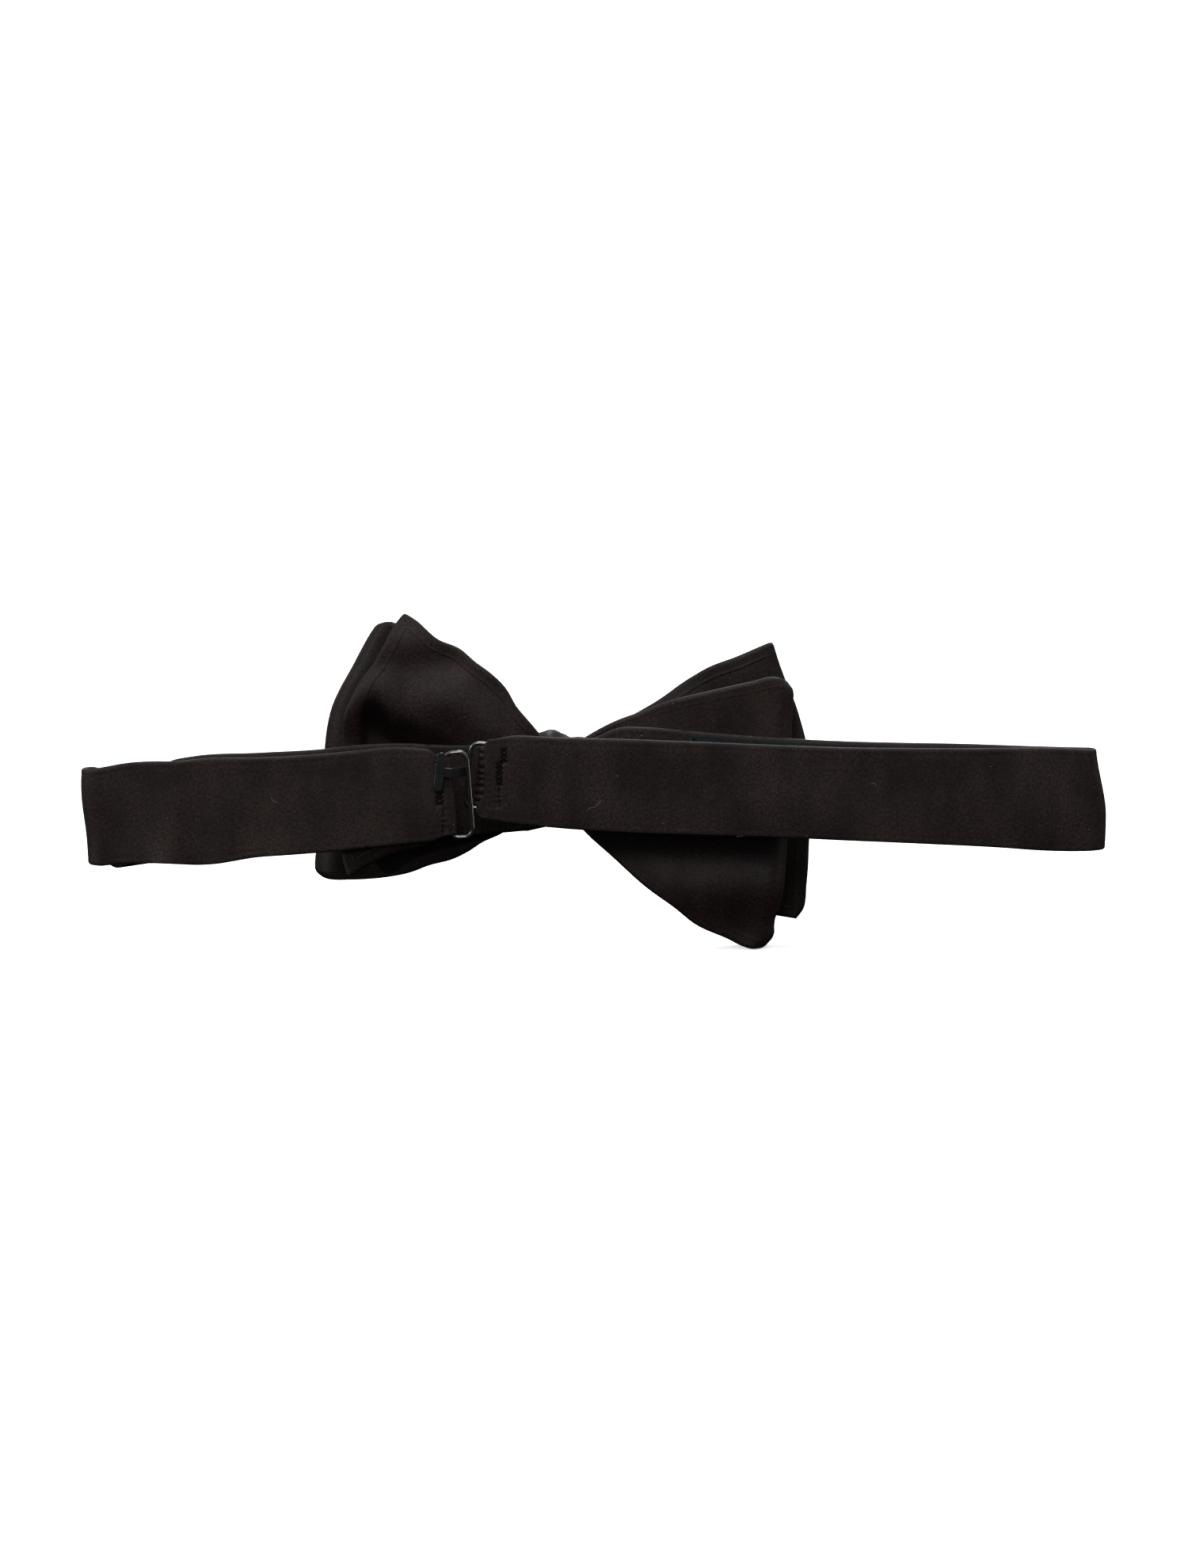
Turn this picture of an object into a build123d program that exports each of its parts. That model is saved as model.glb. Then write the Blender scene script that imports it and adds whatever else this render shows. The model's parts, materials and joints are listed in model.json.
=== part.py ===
from build123d import *
import os
from math import atan2, cos, degrees, radians, sin

# A hand-tied bow tie as worn: +Z up, the bow's front towards -Y and the neck on the +Y side.
# The origin is the middle of the knot's back, where it sits on the collar stud. Millimetres.

# Strap cloth
BAND_T = 1.4            # a band's whole thickness: two faces of fabric and the interlining
FABRIC_T = 0.4          # one face of fabric
HEM = 0.6               # what the fabric stands past the interlining at the band's edges
CLEAR = 0.3             # gap left between pieces that move past each other
FAR = 60.0              # cutting solids reach this far, past every edge

# Knot hinges: where each rear band leaves the knot, as X and Y in plan
KNOT_HINGE_X = 7.5
KNOT_HINGE_Y = -BAND_T / 2

# Right side of the neckband (towards -X)
RIGHT_REAR_LEAN = 2.9   # degrees that the rear band leans back from the knot to the fold
RIGHT_REAR_LONG = 112.0
RIGHT_FOLD_R = 1.9      # the fold's radius at the middle of the cloth
RIGHT_FRONT_LEAN = 1.5
RIGHT_FRONT_LONG = 133.4
RIGHT_FOLD_Z = (-12.7, 8.4)     # lower and upper edge at the fold
RIGHT_KNOT_Z = (-7.0, 12.1)     # and beside the knot
RIGHT_CLASP_Z = (-6.1, 12.0)    # and at the T-hook

# Left side of the neckband (towards +X)
LEFT_REAR_LEAN = 3.4
LEFT_REAR_LONG = 93.8
LEFT_FOLD_R = 2.9
LEFT_FRONT_LEAN = 2.5
LEFT_FRONT_LONG = 77.5
LEFT_FOLD_Z = (-16.2, 4.4)
LEFT_CLASP_Z = (-10.4, 8.9)
LEFT_REAR_Z = ((-15.9, 2.7), (-10.2, 8.4))  # the rear band's edges at the fold and at the knot

# How far each fold opens, which is the room that its bend leaves
RIGHT_FOLD_OPENS = 29.0
LEFT_FOLD_OPENS = 42.0
BEND_SPARE = 6.0

# Clasp
BAR_HOLE_R = 0.75       # the hole in a turned strap end
NOSE_R = 1.6            # outer radius of a turned strap end
NOSE_LONG = 12.0        # how far the turned end runs back along the band
NOSE_TAPER = 5.0        # the length over which it thins to the band
LINING_SHORT = 1.5      # the interlining stops this far before a turned end or the knot
FULL_WIDTH_STOP = 1.5   # the band keeps its full width to this far from the bar
RING_WIRE_R = 0.55
RING_TALL = 20.0
RING_ACROSS = 5.05      # from wire middle to wire middle
RING_CORNER_R = 1.9
RING_TILT = 4.5         # degrees, top towards +X
RING_Z = -0.6
RING_STRAP_TALL = 16.2  # the strap's end inside the ring
HOOK_WIRE_R = 0.5
HOOK_TALL = 15.4
HOOK_ACROSS = 4.9
HOOK_CORNER_R = 1.7
HOOK_TILT = -6.0
HOOK_Z = 3.3
HOOK_STRAP_TALL = 12.0
STEM_WIDE = 2.1
STEM_T = 0.8
STEM_Z = 4.0
STEM_FLAT = 0.5         # the stem's level start beside the frame
STEM_RISE = 4.35        # how far the crank lifts the crossbar
STEM_RAMP = 3.4         # over this length
CROSSBAR_TALL = 8.6
CROSSBAR_WIDE = 2.0
CROSSBAR_T = 0.9
CROSSBAR_X = 5.7        # from the frame's left bar to the stem's end

# Slider
SLIDER_AT = 87.6        # along the rear band from the knot hinge
SLIDER_WIRE_R = 0.6
SLIDER_WIDE = 9.6       # between the side bars' middles
SLIDER_TALL = 21.0      # between the rails' middles
SLIDER_CORNER_R = 1.8
SLIDER_DROP = -0.2      # it hangs a little low on the strap
SLIDER_TILT = 4.5       # and leans, its outer end down
SIDE_BAR_V = BAND_T / 2 + CLEAR + SLIDER_WIRE_R
TAB_T = 0.6
TAB_FIT = 0.05          # the room between the bar and the tab round it
CENTRE_BAR_V = -(BAND_T / 2 + CLEAR + TAB_T + TAB_FIT + SLIDER_WIRE_R)
TAB_TALL = 18.0
TAB_LONG = 9.0
TAB_FILL = 3.0          # the filled length at the tab's sewn end
TAB_THROAT = 1.2        # how far the tab's leaves start past the wrap
TAB_STITCHES = 12
TAB_STITCH_TALL = 0.9

# Size tape
TAPE_T = 0.4
TAPE_START = 22.5       # along the right rear band from the knot hinge
TAPE_SHORT = 2.0        # it stops this far before the fold
TAPE_INSET = 0.2        # and this far inside the band's edges
TAPE_ROW = (0.9, -6.4, 10.8, 14)    # from the tape's start, lower and upper end, stitches

# Thread at the strap ends: distance in from the clasp bar, lower and upper end, stitches
THREAD_T = 0.14
STITCH_LIFT = 0.03      # a stitch stands this far off the cloth
STITCH_WIDE = 0.35
TACK_WIDE = 1.5
TACK_LEAN = 28.0        # degrees, one way and then the other
HOOK_TACK = (3.0, 3.4, 9.2, 9)
HOOK_ROW = (2.6, -2.2, 3.0, 6)
RING_TACK = (1.9, -5.0, 6.6, 15)
RING_ROW = (1.5, -8.8, -5.4, 4)

# Bow: every blade is fabric, interlining and fabric
BLADE_FABRIC_T = 0.45
BLADE_LINING_T = 0.6
BLADE_T = 2 * BLADE_FABRIC_T + BLADE_LINING_T
PINCH_X = 5.0           # the blades start here, beside the knot's core

# Knot
KNOT_WIDE = 17.0
KNOT_Y = (-22.0, -1.8)
KNOT_Z = (-9.2, 9.6)
KNOT_WRAP_T = 1.6
KNOT_CORNER_R = 2.8
COLLAR_MIDDLE_Z = 0.4
COLLAR_TALL = 19.0
COLLAR_PAD_WIDE = 9.0   # the strap's thick middle, sewn to the wrap
COLLAR_PAD_TALL = 14.0


def save(name, *solids):
    """Writes one node from its solids."""
    shapes = [s for item in solids for s in item.solids()]
    export_step(shapes[0] if len(shapes) == 1 else Compound(children=shapes), f"parts/{name}.step")


def prism(points, low, high):
    """A prism over an outline in plan, from one height to another."""
    return Pos(0, 0, low) * extrude(make_face(Polyline(*points, close=True)), high - low)


def side_prism(points, low, high):
    """A prism over an outline in X and Z, from one Y to another."""
    upright_plane = Plane(origin=(0, high, 0), x_dir=(1, 0, 0), z_dir=(0, -1, 0))
    return extrude(upright_plane * make_face(Polyline(*points, close=True)), high - low)


class Strap:
    """A straight run of band in plan: u runs along it and v is its normal on the neck side."""

    def __init__(self, start, lean, side):
        self.start = start
        self.along = (side * cos(radians(lean)), sin(radians(lean)))
        self.normal = (-side * sin(radians(lean)), cos(radians(lean)))

    def at(self, u, v=0.0):
        return (self.start[0] + u * self.along[0] + v * self.normal[0],
                self.start[1] + u * self.along[1] + v * self.normal[1])

    def slab(self, u0, u1, v0, v1):
        """A tall prism over a rectangle of the run."""
        return prism([self.at(u0, v0), self.at(u1, v0), self.at(u1, v1), self.at(u0, v1)], -FAR, FAR)


def edges_between(x0, z0, x1, z1, inset=0.0):
    """The band's side outline, extended in line past both of its ends."""
    def height(x, k):
        return z0[k] + (z1[k] - z0[k]) * (x - x0) / (x1 - x0) + (inset if k == 0 else -inset)
    low, high = min(x0, x1) - 8, max(x0, x1) + 8
    return side_prism([(low, height(low, 0)), (high, height(high, 0)),
                       (high, height(high, 1)), (low, height(low, 1))], -FAR, FAR)


def upright(x, y, radius, low=-FAR, high=FAR):
    return Pos(x, y, (low + high) / 2) * Cylinder(radius, high - low)


def sector(centre, inner, outer, from_deg, to_deg):
    """A tall slice of a ring in plan, from one angle to another, counted anticlockwise from +X."""
    reach = outer * 3
    steps = 6
    fan = [centre]
    for i in range(steps + 1):
        a = radians(from_deg + (to_deg - from_deg) * i / steps)
        fan.append((centre[0] + reach * cos(a), centre[1] + reach * sin(a)))
    ring = upright(*centre, outer) - upright(*centre, inner)
    return ring & prism(fan, -FAR, FAR)


# ---------------------------------------------------------------- the neckband's plan

right_rear = Strap((-KNOT_HINGE_X, KNOT_HINGE_Y), RIGHT_REAR_LEAN, -1)
right_fold = right_rear.at(RIGHT_REAR_LONG, RIGHT_FOLD_R)
left_rear = Strap((KNOT_HINGE_X, KNOT_HINGE_Y), LEFT_REAR_LEAN, 1)
left_fold = left_rear.at(LEFT_REAR_LONG, LEFT_FOLD_R)


def front_strap(fold, lean, side, radius):
    """The front band's run from its fold to the clasp."""
    run = Strap(fold, lean, side)
    run.start = run.at(0, radius)
    return run


right_front = front_strap(right_fold, RIGHT_FRONT_LEAN, 1, RIGHT_FOLD_R)
left_front = front_strap(left_fold, LEFT_FRONT_LEAN, -1, LEFT_FOLD_R)
bar_drop = NOSE_R - BAND_T / 2
hook_bar = right_front.at(RIGHT_FRONT_LONG, -bar_drop)
ring_bar = left_front.at(LEFT_FRONT_LONG, -bar_drop)


def rear_band(name, run, long, outline):
    """A rear band with its round inner end on the knot hinge, and its interlining."""
    inner = outline(HEM)
    body = run.slab(0, long, -BAND_T / 2, BAND_T / 2) + upright(*run.start, BAND_T / 2)
    core_v = BAND_T / 2 - FABRIC_T
    core = run.slab(LINING_SHORT, long - 1, -core_v, core_v) & inner
    save(f"{name}_band", (body & outline(0)) - core)
    save(f"{name}_interlining", core)


def nose(run, long, bar, tall, tilt, bar_z):
    """The strap's end turned round a bar, as a tapering double layer with the bar's hole."""

    def local(u, v):
        """A point counted from the bar: u back along the band, v towards the neck."""
        return run.at(long - u, v - bar_drop)

    outline = [local(NOSE_LONG, NOSE_R), local(0, NOSE_R), local(0, -NOSE_R),
               local(NOSE_LONG - NOSE_TAPER, -NOSE_R), local(NOSE_LONG, NOSE_R - BAND_T)]
    solid = prism(outline, bar_z - tall / 2, bar_z + tall / 2)
    solid += upright(*bar, NOSE_R, bar_z - tall / 2, bar_z + tall / 2)
    solid -= upright(*bar, BAR_HOLE_R)
    return lean_about(solid, bar, bar_z, tilt)


def lean_about(shape, bar, z, tilt):
    """Leans a shape in X and Z about the middle of its bar; a positive tilt takes the top towards +X."""
    centre = Pos(bar[0], bar[1], z)
    return centre * Rot(0, tilt, 0) * centre.inverse() * shape


def front_band(name, run, long, radius, fold, outline, bend, end):
    """A front band: the bend of its fold, its run, its turned end and its interlining."""
    body = run.slab(0, long - FULL_WIDTH_STOP, -BAND_T / 2, BAND_T / 2) & outline(0)
    bend_solid = sector(fold, radius - BAND_T / 2, radius + BAND_T / 2, *bend) & outline(0)
    core_v = BAND_T / 2 - FABRIC_T
    core = run.slab(1, long - NOSE_LONG - LINING_SHORT, -core_v, core_v) & outline(HEM)
    save(f"{name}_band", body + bend_solid + end - core)
    save(f"{name}_interlining", core)


def right_rear_outline(inset):
    return edges_between(-KNOT_HINGE_X, RIGHT_KNOT_Z, right_fold[0], RIGHT_FOLD_Z, inset)


def left_rear_outline(inset):
    return edges_between(KNOT_HINGE_X, LEFT_REAR_Z[1], left_fold[0], LEFT_REAR_Z[0], inset)


def right_front_outline(inset):
    return edges_between(hook_bar[0], RIGHT_CLASP_Z, right_fold[0], RIGHT_FOLD_Z, inset)


def left_front_outline(inset):
    return edges_between(ring_bar[0], LEFT_CLASP_Z, left_fold[0], LEFT_FOLD_Z, inset)


def neckband():
    rear_band("right_rear", right_rear, RIGHT_REAR_LONG, right_rear_outline)
    rear_band("left_rear", left_rear, LEFT_REAR_LONG, left_rear_outline)
    right_nose = nose(right_front, RIGHT_FRONT_LONG, hook_bar, HOOK_STRAP_TALL, HOOK_TILT, HOOK_Z)
    right_bend = (90 + RIGHT_FRONT_LEAN, 270 - RIGHT_REAR_LEAN - RIGHT_FOLD_OPENS - BEND_SPARE)
    front_band("right_front", right_front, RIGHT_FRONT_LONG, RIGHT_FOLD_R, right_fold,
               right_front_outline, right_bend, right_nose)
    left_nose = nose(left_front, LEFT_FRONT_LONG, ring_bar, RING_STRAP_TALL, RING_TILT, RING_Z)
    left_bend = (-90 + LEFT_REAR_LEAN + LEFT_FOLD_OPENS + BEND_SPARE, 90 - LEFT_FRONT_LEAN)
    front_band("left_front", left_front, LEFT_FRONT_LONG, LEFT_FOLD_R, left_fold,
               left_front_outline, left_bend, left_nose)


# ---------------------------------------------------------------- the clasp


def bent_wire(points, bend_r, wire_r, closed=False):
    """Round wire along straight runs joined by bends."""
    path = FilletPolyline(*points, radius=bend_r, close=closed)
    start = path.location_at(0.0)
    section = Plane(origin=start.position, z_dir=path.tangent_at(0.0)) * Circle(wire_r)
    return sweep(section, path)


def wire_loop(tall, across, wire_r, corner_r):
    """A closed loop of wire standing in X and Z, with its right bar's middle on the origin."""
    high = tall / 2 - wire_r
    corners = [(0, 0, -high), (0, 0, high), (across, 0, high), (across, 0, -high)]
    return bent_wire(corners, corner_r, wire_r, closed=True)


def ring():
    """The oval eye: its left bar lies in the left strap's end."""
    loop = wire_loop(RING_TALL, -RING_ACROSS, RING_WIRE_R, RING_CORNER_R)
    placed = Pos(ring_bar[0], ring_bar[1], RING_Z) * loop
    save("ring", lean_about(placed, ring_bar, RING_Z, RING_TILT))


def t_hook():
    """The T-hook: a frame in the right strap's end, a cranked stem and a crossbar."""
    frame = wire_loop(HOOK_TALL, HOOK_ACROSS, HOOK_WIRE_R, HOOK_CORNER_R)
    x0 = HOOK_ACROSS
    half = STEM_T / 2
    rise = atan2(STEM_RISE, STEM_RAMP)
    shift = half * sin(rise) / (1 + cos(rise)) * 2
    x1 = x0 + STEM_FLAT
    x2 = x1 + STEM_RAMP
    x3 = x0 + CROSSBAR_X
    under = [(x0, -half), (x1 + shift / 2, -half), (x2 + shift / 2, STEM_RISE - half), (x3, STEM_RISE - half)]
    over = [(x3, STEM_RISE + half), (x2 - shift / 2, STEM_RISE + half), (x1 - shift / 2, half), (x0, half)]
    stem_z = STEM_Z - HOOK_Z
    stem = prism(under + over, stem_z - STEM_WIDE / 2, stem_z + STEM_WIDE / 2)
    bar = Box(CROSSBAR_WIDE, CROSSBAR_T, CROSSBAR_TALL)
    bar = fillet(bar.edges().filter_by(Axis.Y), CROSSBAR_WIDE * 0.45)
    bar = Pos(x3 + CROSSBAR_WIDE * 0.3, STEM_RISE, stem_z) * bar
    hook = Pos(hook_bar[0], hook_bar[1], HOOK_Z) * (frame + stem + bar)
    save("t_hook", lean_about(hook, hook_bar, HOOK_Z, HOOK_TILT))


def bar_tack(run, v, u, low, high, count):
    """A bar-tack's zigzag of thread on the neck side of a band, as separate short stitches."""
    stitches = []
    pitch = (high - low) / count
    turn = degrees(atan2(run.along[1], run.along[0]))
    for i in range(count):
        x, y = run.at(u, v + STITCH_LIFT + THREAD_T / 2)
        lean = TACK_LEAN if i % 2 else -TACK_LEAN
        stitch = Box(TACK_WIDE, THREAD_T, pitch * 0.42)
        stitches.append(Pos(x, y, low + pitch * (i + 0.5)) * Rot(0, 0, turn) * Rot(0, lean, 0) * stitch)
    return stitches


def stitch_row(run, v, u, low, high, count):
    """A straight row of stitches on the neck side of a band."""
    pitch = (high - low) / count
    row = []
    for i in range(count):
        x, y = run.at(u, v + STITCH_LIFT + THREAD_T / 2)
        row.append(Pos(x, y, low + pitch * (i + 0.5)) * Box(STITCH_WIDE, THREAD_T, pitch * 0.62))
    return row


def end_stitches(name, run, long, tack, row):
    """The thread at a strap's end: a bar-tack above or beside a straight row."""
    face = BAND_T / 2
    thread = bar_tack(run, face, long - tack[0], *tack[1:])
    thread += stitch_row(run, face, long - row[0], *row[1:])
    save(name, *thread)


# ---------------------------------------------------------------- the size tape and the slider


def size_tape():
    """The tape sewn to the neck side of the right rear band, and the stitches across its end."""
    face = BAND_T / 2
    tape = right_rear.slab(TAPE_START, RIGHT_REAR_LONG - TAPE_SHORT, face, face + TAPE_T)
    save("size_tape", tape & right_rear_outline(TAPE_INSET))
    save("tape_stitches", *stitch_row(right_rear, face + TAPE_T, TAPE_START + TAPE_ROW[0], *TAPE_ROW[1:]))


def slider_place():
    """Where the slider sits: on the left rear band's middle line, leaning with it and a little more."""
    x, y = left_rear.at(SLIDER_AT)
    fold_middle, knot_middle = (sum(edges) / 2 for edges in LEFT_REAR_Z)
    along = (x - KNOT_HINGE_X) / (left_fold[0] - KNOT_HINGE_X)
    middle = knot_middle + along * (fold_middle - knot_middle)
    slope = degrees(atan2(fold_middle - knot_middle, left_fold[0] - KNOT_HINGE_X))
    return Pos(x, y, middle) * Rot(0, SLIDER_TILT - slope, 0) * Rot(0, 0, LEFT_REAR_LEAN)


def slider():
    """The tri-glide on the left rear band: side bars on the neck side, its sewn bar on the bow's side."""
    half_w, half_t, r = SLIDER_WIDE / 2, SLIDER_TALL / 2, SLIDER_WIRE_R
    corners = [(-half_w, 0, -half_t), (-half_w, 0, half_t), (half_w, 0, half_t), (half_w, 0, -half_t)]
    frame = bent_wire(corners, SLIDER_CORNER_R, r, closed=True)
    drop = CENTRE_BAR_V - SIDE_BAR_V
    bridge = [(0, 0, -half_t), (0, drop, -half_t), (0, drop, half_t), (0, 0, half_t)]
    bar = bent_wire(bridge, 1.5 * r, r)
    save("slider", slider_place() * Pos(0, SIDE_BAR_V, SLIDER_DROP) * (frame + bar))


def slider_tab():
    """The sewn loop of cloth round the slider's middle bar, and the stitches across it."""
    wrap_in = SLIDER_WIRE_R + TAB_FIT
    wrap_out = wrap_in + TAB_T
    wrap = Cylinder(wrap_out, TAB_TALL) - Cylinder(wrap_in, TAB_TALL + 2)
    wrap -= Pos(-wrap_out, 0, 0) * Box(2 * wrap_out - TAB_THROAT, 2 * wrap_in, TAB_TALL + 2)
    leaf = Box(TAB_LONG, TAB_T, TAB_TALL)
    near = Pos(-TAB_LONG / 2, wrap_in + TAB_T / 2, 0) * leaf
    far = Pos(-TAB_LONG / 2, -(wrap_in + TAB_T / 2), 0) * leaf
    fill = Pos(TAB_FILL / 2 - TAB_LONG, 0, 0) * Box(TAB_FILL, 2 * wrap_in, TAB_TALL)
    place = slider_place() * Pos(0, CENTRE_BAR_V, 0)
    save("slider_tab", place * (wrap + near + far + fill))
    stitch = Box(STITCH_WIDE, THREAD_T, TAB_STITCH_TALL)
    edge = TAB_TALL / 2 - 1.2
    stitches = []
    for i in range(TAB_STITCHES):
        z = -edge + 2 * edge * i / (TAB_STITCHES - 1)
        stitches.append(place * Pos(0.8 * TAB_FILL - TAB_LONG, -wrap_out - THREAD_T / 2, z) * stitch)
    save("slider_tab_stitches", *stitches)


# ---------------------------------------------------------------- the bow

# Side outlines in X and Z, each from the pinch at the knot and round the blade
REAR_END = [(5.0, 7.6), (8.8, 7.6), (12.0, 20.0), (21.0, 29.0), (31.0, 35.2), (33.0, 36.6), (37.5, 29.8),
            (44.6, 18.4), (46.6, 7.0), (47.0, -20.0), (45.3, -21.2), (38.0, -16.6), (24.5, -13.2),
            (8.8, -6.8), (5.0, -6.8)]
FRONT_LOOP = [(5.0, 7.6), (8.8, 7.6), (14.0, 19.0), (24.0, 29.0), (37.0, 34.6), (52.0, 36.0), (70.0, 0.0),
              (58.0, -22.6), (45.0, -23.6), (33.0, -21.8), (22.0, -18.0), (8.8, -6.8), (5.0, -6.8)]
REAR_LOOP = [(-5.0, 7.6), (-8.8, 7.6), (-19.8, 15.0), (-34.0, 19.4), (-49.0, 22.4), (-60.0, 22.4),
             (-60.0, -33.0), (-48.5, -34.5), (-45.5, -37.4), (-38.0, -34.8), (-26.6, -27.5), (-13.1, -16.8),
             (-8.8, -6.8), (-5.0, -6.8)]
FRONT_END = [(-5.0, 7.6), (-8.8, 7.6), (-17.9, 12.5), (-30.0, 20.2), (-41.0, 25.5), (-48.6, 28.2),
             (-52.5, 17.0), (-55.8, 6.6), (-56.3, -15.0), (-55.0, -31.6), (-48.0, -32.2), (-30.0, -24.0),
             (-8.8, -6.8), (-5.0, -6.8)]
REAR_END_Y = -4.0       # each blade's neck-side face
FRONT_END_Y = -16.2
REAR_LOOP_Y = (-4.0, -12.6)     # a loop's two outer faces
FRONT_LOOP_Y = (-9.0, -20.0)
REAR_LOOP_REACH = 52.6
FRONT_LOOP_REACH = 47.0
REAR_LOOP_LEAN = -3.5   # degrees that the loop's fold leans, top towards +X when positive
FRONT_LOOP_LEAN = -12.0


def layers(name, labels, stack):
    """Saves a blade's fabric, interlining and fabric."""
    for label, solid in zip(labels, stack):
        save(f"{name}_{label}", solid)


def flat_end(name, outline, y):
    """A flat sewn end: three sheets face to face."""
    cuts = (0.0, BLADE_FABRIC_T, BLADE_FABRIC_T + BLADE_LINING_T, BLADE_T)
    stack = [side_prism(outline, y - b, y - a) for a, b in zip(cuts, cuts[1:])]
    layers(name, ("back_fabric", "interlining", "front_fabric"), stack)


def loop_skin(outline, faces, reach, side, lean, outer, inner):
    """One sheet of a loop: two leaves and the round fold between them, from one depth to another."""
    near, far = faces
    middle = (near + far) / 2
    half = (near - far) / 2
    centre = side * (reach - half)

    def solid(depth):
        r = half - depth
        block = Pos(centre - side * FAR, middle, 0) * Box(2 * FAR, 2 * r, 2 * FAR)
        return block + Pos(centre, middle, 0) * Cylinder(r, 2 * FAR)

    skin = Rot(0, lean, 0) * (solid(outer) - solid(inner))
    return skin & side_prism(outline, far - 1, near + 1)


def loop(name, outline, faces, reach, side, lean):
    """A folded loop: three sheets, one inside another."""
    cuts = (0.0, BLADE_FABRIC_T, BLADE_FABRIC_T + BLADE_LINING_T, BLADE_T)
    stack = [loop_skin(outline, faces, reach, side, lean, a, b) for a, b in zip(cuts, cuts[1:])]
    layers(name, ("outer_fabric", "interlining", "inner_fabric"), stack)


def knot():
    """The wrapped band of the knot, the pinched layers inside it and the strap behind it."""
    deep = KNOT_Y[1] - KNOT_Y[0]
    tall = KNOT_Z[1] - KNOT_Z[0]
    centre = Pos(0, sum(KNOT_Y) / 2, sum(KNOT_Z) / 2)
    outer = fillet(Box(KNOT_WIDE, deep, tall).edges().filter_by(Axis.X), KNOT_CORNER_R)
    inside = Box(KNOT_WIDE + 2, deep - 2 * KNOT_WRAP_T, tall - 2 * KNOT_WRAP_T)
    inside = fillet(inside.edges().filter_by(Axis.X), KNOT_CORNER_R - KNOT_WRAP_T)
    save("knot_wrap", centre * (outer - inside))
    core = inside & Box(2 * PINCH_X, deep, tall)
    save("knot_core", centre * core)
    half = KNOT_HINGE_X - BAND_T / 2 - CLEAR
    strap = Pos(0, -BAND_T / 2, 0) * Box(2 * half, BAND_T, COLLAR_TALL)
    pad = Pos(0, (KNOT_Y[1] - BAND_T) / 2, 0) * Box(COLLAR_PAD_WIDE, -KNOT_Y[1] - BAND_T, COLLAR_PAD_TALL)
    save("collar_strap", Pos(0, 0, COLLAR_MIDDLE_Z) * (strap + pad))


def main():
    os.makedirs("parts", exist_ok=True)
    neckband()
    ring()
    t_hook()
    end_stitches("hook_end_stitches", right_front, RIGHT_FRONT_LONG, HOOK_TACK, HOOK_ROW)
    end_stitches("ring_end_stitches", left_front, LEFT_FRONT_LONG, RING_TACK, RING_ROW)
    size_tape()
    slider()
    slider_tab()
    flat_end("rear_end", REAR_END, REAR_END_Y)
    flat_end("front_end", FRONT_END, FRONT_END_Y)
    loop("rear_loop", REAR_LOOP, REAR_LOOP_Y, REAR_LOOP_REACH, -1, REAR_LOOP_LEAN)
    loop("front_loop", FRONT_LOOP, FRONT_LOOP_Y, FRONT_LOOP_REACH, 1, FRONT_LOOP_LEAN)
    knot()


main()
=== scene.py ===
import json
from math import cos, pi, radians, sin, tan

import bmesh
import bpy
import numpy as np
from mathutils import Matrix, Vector
from mathutils.bvhtree import BVHTree


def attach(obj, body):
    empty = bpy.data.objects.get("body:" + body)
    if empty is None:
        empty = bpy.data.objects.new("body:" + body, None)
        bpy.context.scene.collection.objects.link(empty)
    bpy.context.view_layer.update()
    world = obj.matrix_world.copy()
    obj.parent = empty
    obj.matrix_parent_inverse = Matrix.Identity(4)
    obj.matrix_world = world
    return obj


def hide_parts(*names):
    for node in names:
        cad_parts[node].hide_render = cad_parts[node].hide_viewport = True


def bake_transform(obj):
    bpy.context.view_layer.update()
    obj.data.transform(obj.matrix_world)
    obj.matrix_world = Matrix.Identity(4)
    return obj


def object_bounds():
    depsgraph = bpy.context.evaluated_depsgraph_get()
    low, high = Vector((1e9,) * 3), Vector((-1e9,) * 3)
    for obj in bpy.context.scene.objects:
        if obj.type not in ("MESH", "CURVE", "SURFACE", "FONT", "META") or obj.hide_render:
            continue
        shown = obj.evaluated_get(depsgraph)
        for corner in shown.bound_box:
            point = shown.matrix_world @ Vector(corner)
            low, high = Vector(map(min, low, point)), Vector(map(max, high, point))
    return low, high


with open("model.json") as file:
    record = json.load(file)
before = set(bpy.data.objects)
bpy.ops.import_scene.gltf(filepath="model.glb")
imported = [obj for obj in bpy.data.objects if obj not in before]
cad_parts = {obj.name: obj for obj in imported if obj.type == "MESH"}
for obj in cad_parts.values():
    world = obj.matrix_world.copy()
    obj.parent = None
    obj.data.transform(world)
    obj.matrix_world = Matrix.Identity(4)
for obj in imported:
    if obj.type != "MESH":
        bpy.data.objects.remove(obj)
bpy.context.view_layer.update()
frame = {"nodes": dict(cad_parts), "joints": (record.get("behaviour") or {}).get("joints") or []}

# The looks of a hand-tied satin bow tie. Lengths are millimetres until a mesh is made.
MM = 0.001
joint_at = {j["name"]: np.array(j["pos_m"]) / MM for j in frame["joints"] if "pos_m" in j}

BAND_HALF = 0.7         # half a band's thickness
BLADE_HALF = 0.75       # half a blade's thickness
STEP = 1.3              # the usual spacing of a cloth mesh
SEAM_IN = 1.85          # a blade's seam line lies this far inside its edge
# The mesh rows beside a blade's and a band's edge, by their distance from it
EDGE_ROWS = SEAM_IN * np.array([0, 0.16, 0.4, 0.65, 0.82, 0.92, 1.0, 1.08, 1.18, 1.3, 1.6])
BAND_EDGE_ROWS = np.array([0.0, 0.6, 0.95, 1.3])


# ---- lines and grids


def at_share(line, share):
    """Points at shares of a line's length."""
    line = np.asarray(line, float)
    run = np.concatenate([[0], np.cumsum(np.linalg.norm(np.diff(line, axis=0), axis=1))])
    where = np.asarray(share, float) * run[-1]
    return np.stack([np.interp(where, run, line[:, k]) for k in range(line.shape[1])], axis=-1)


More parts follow.
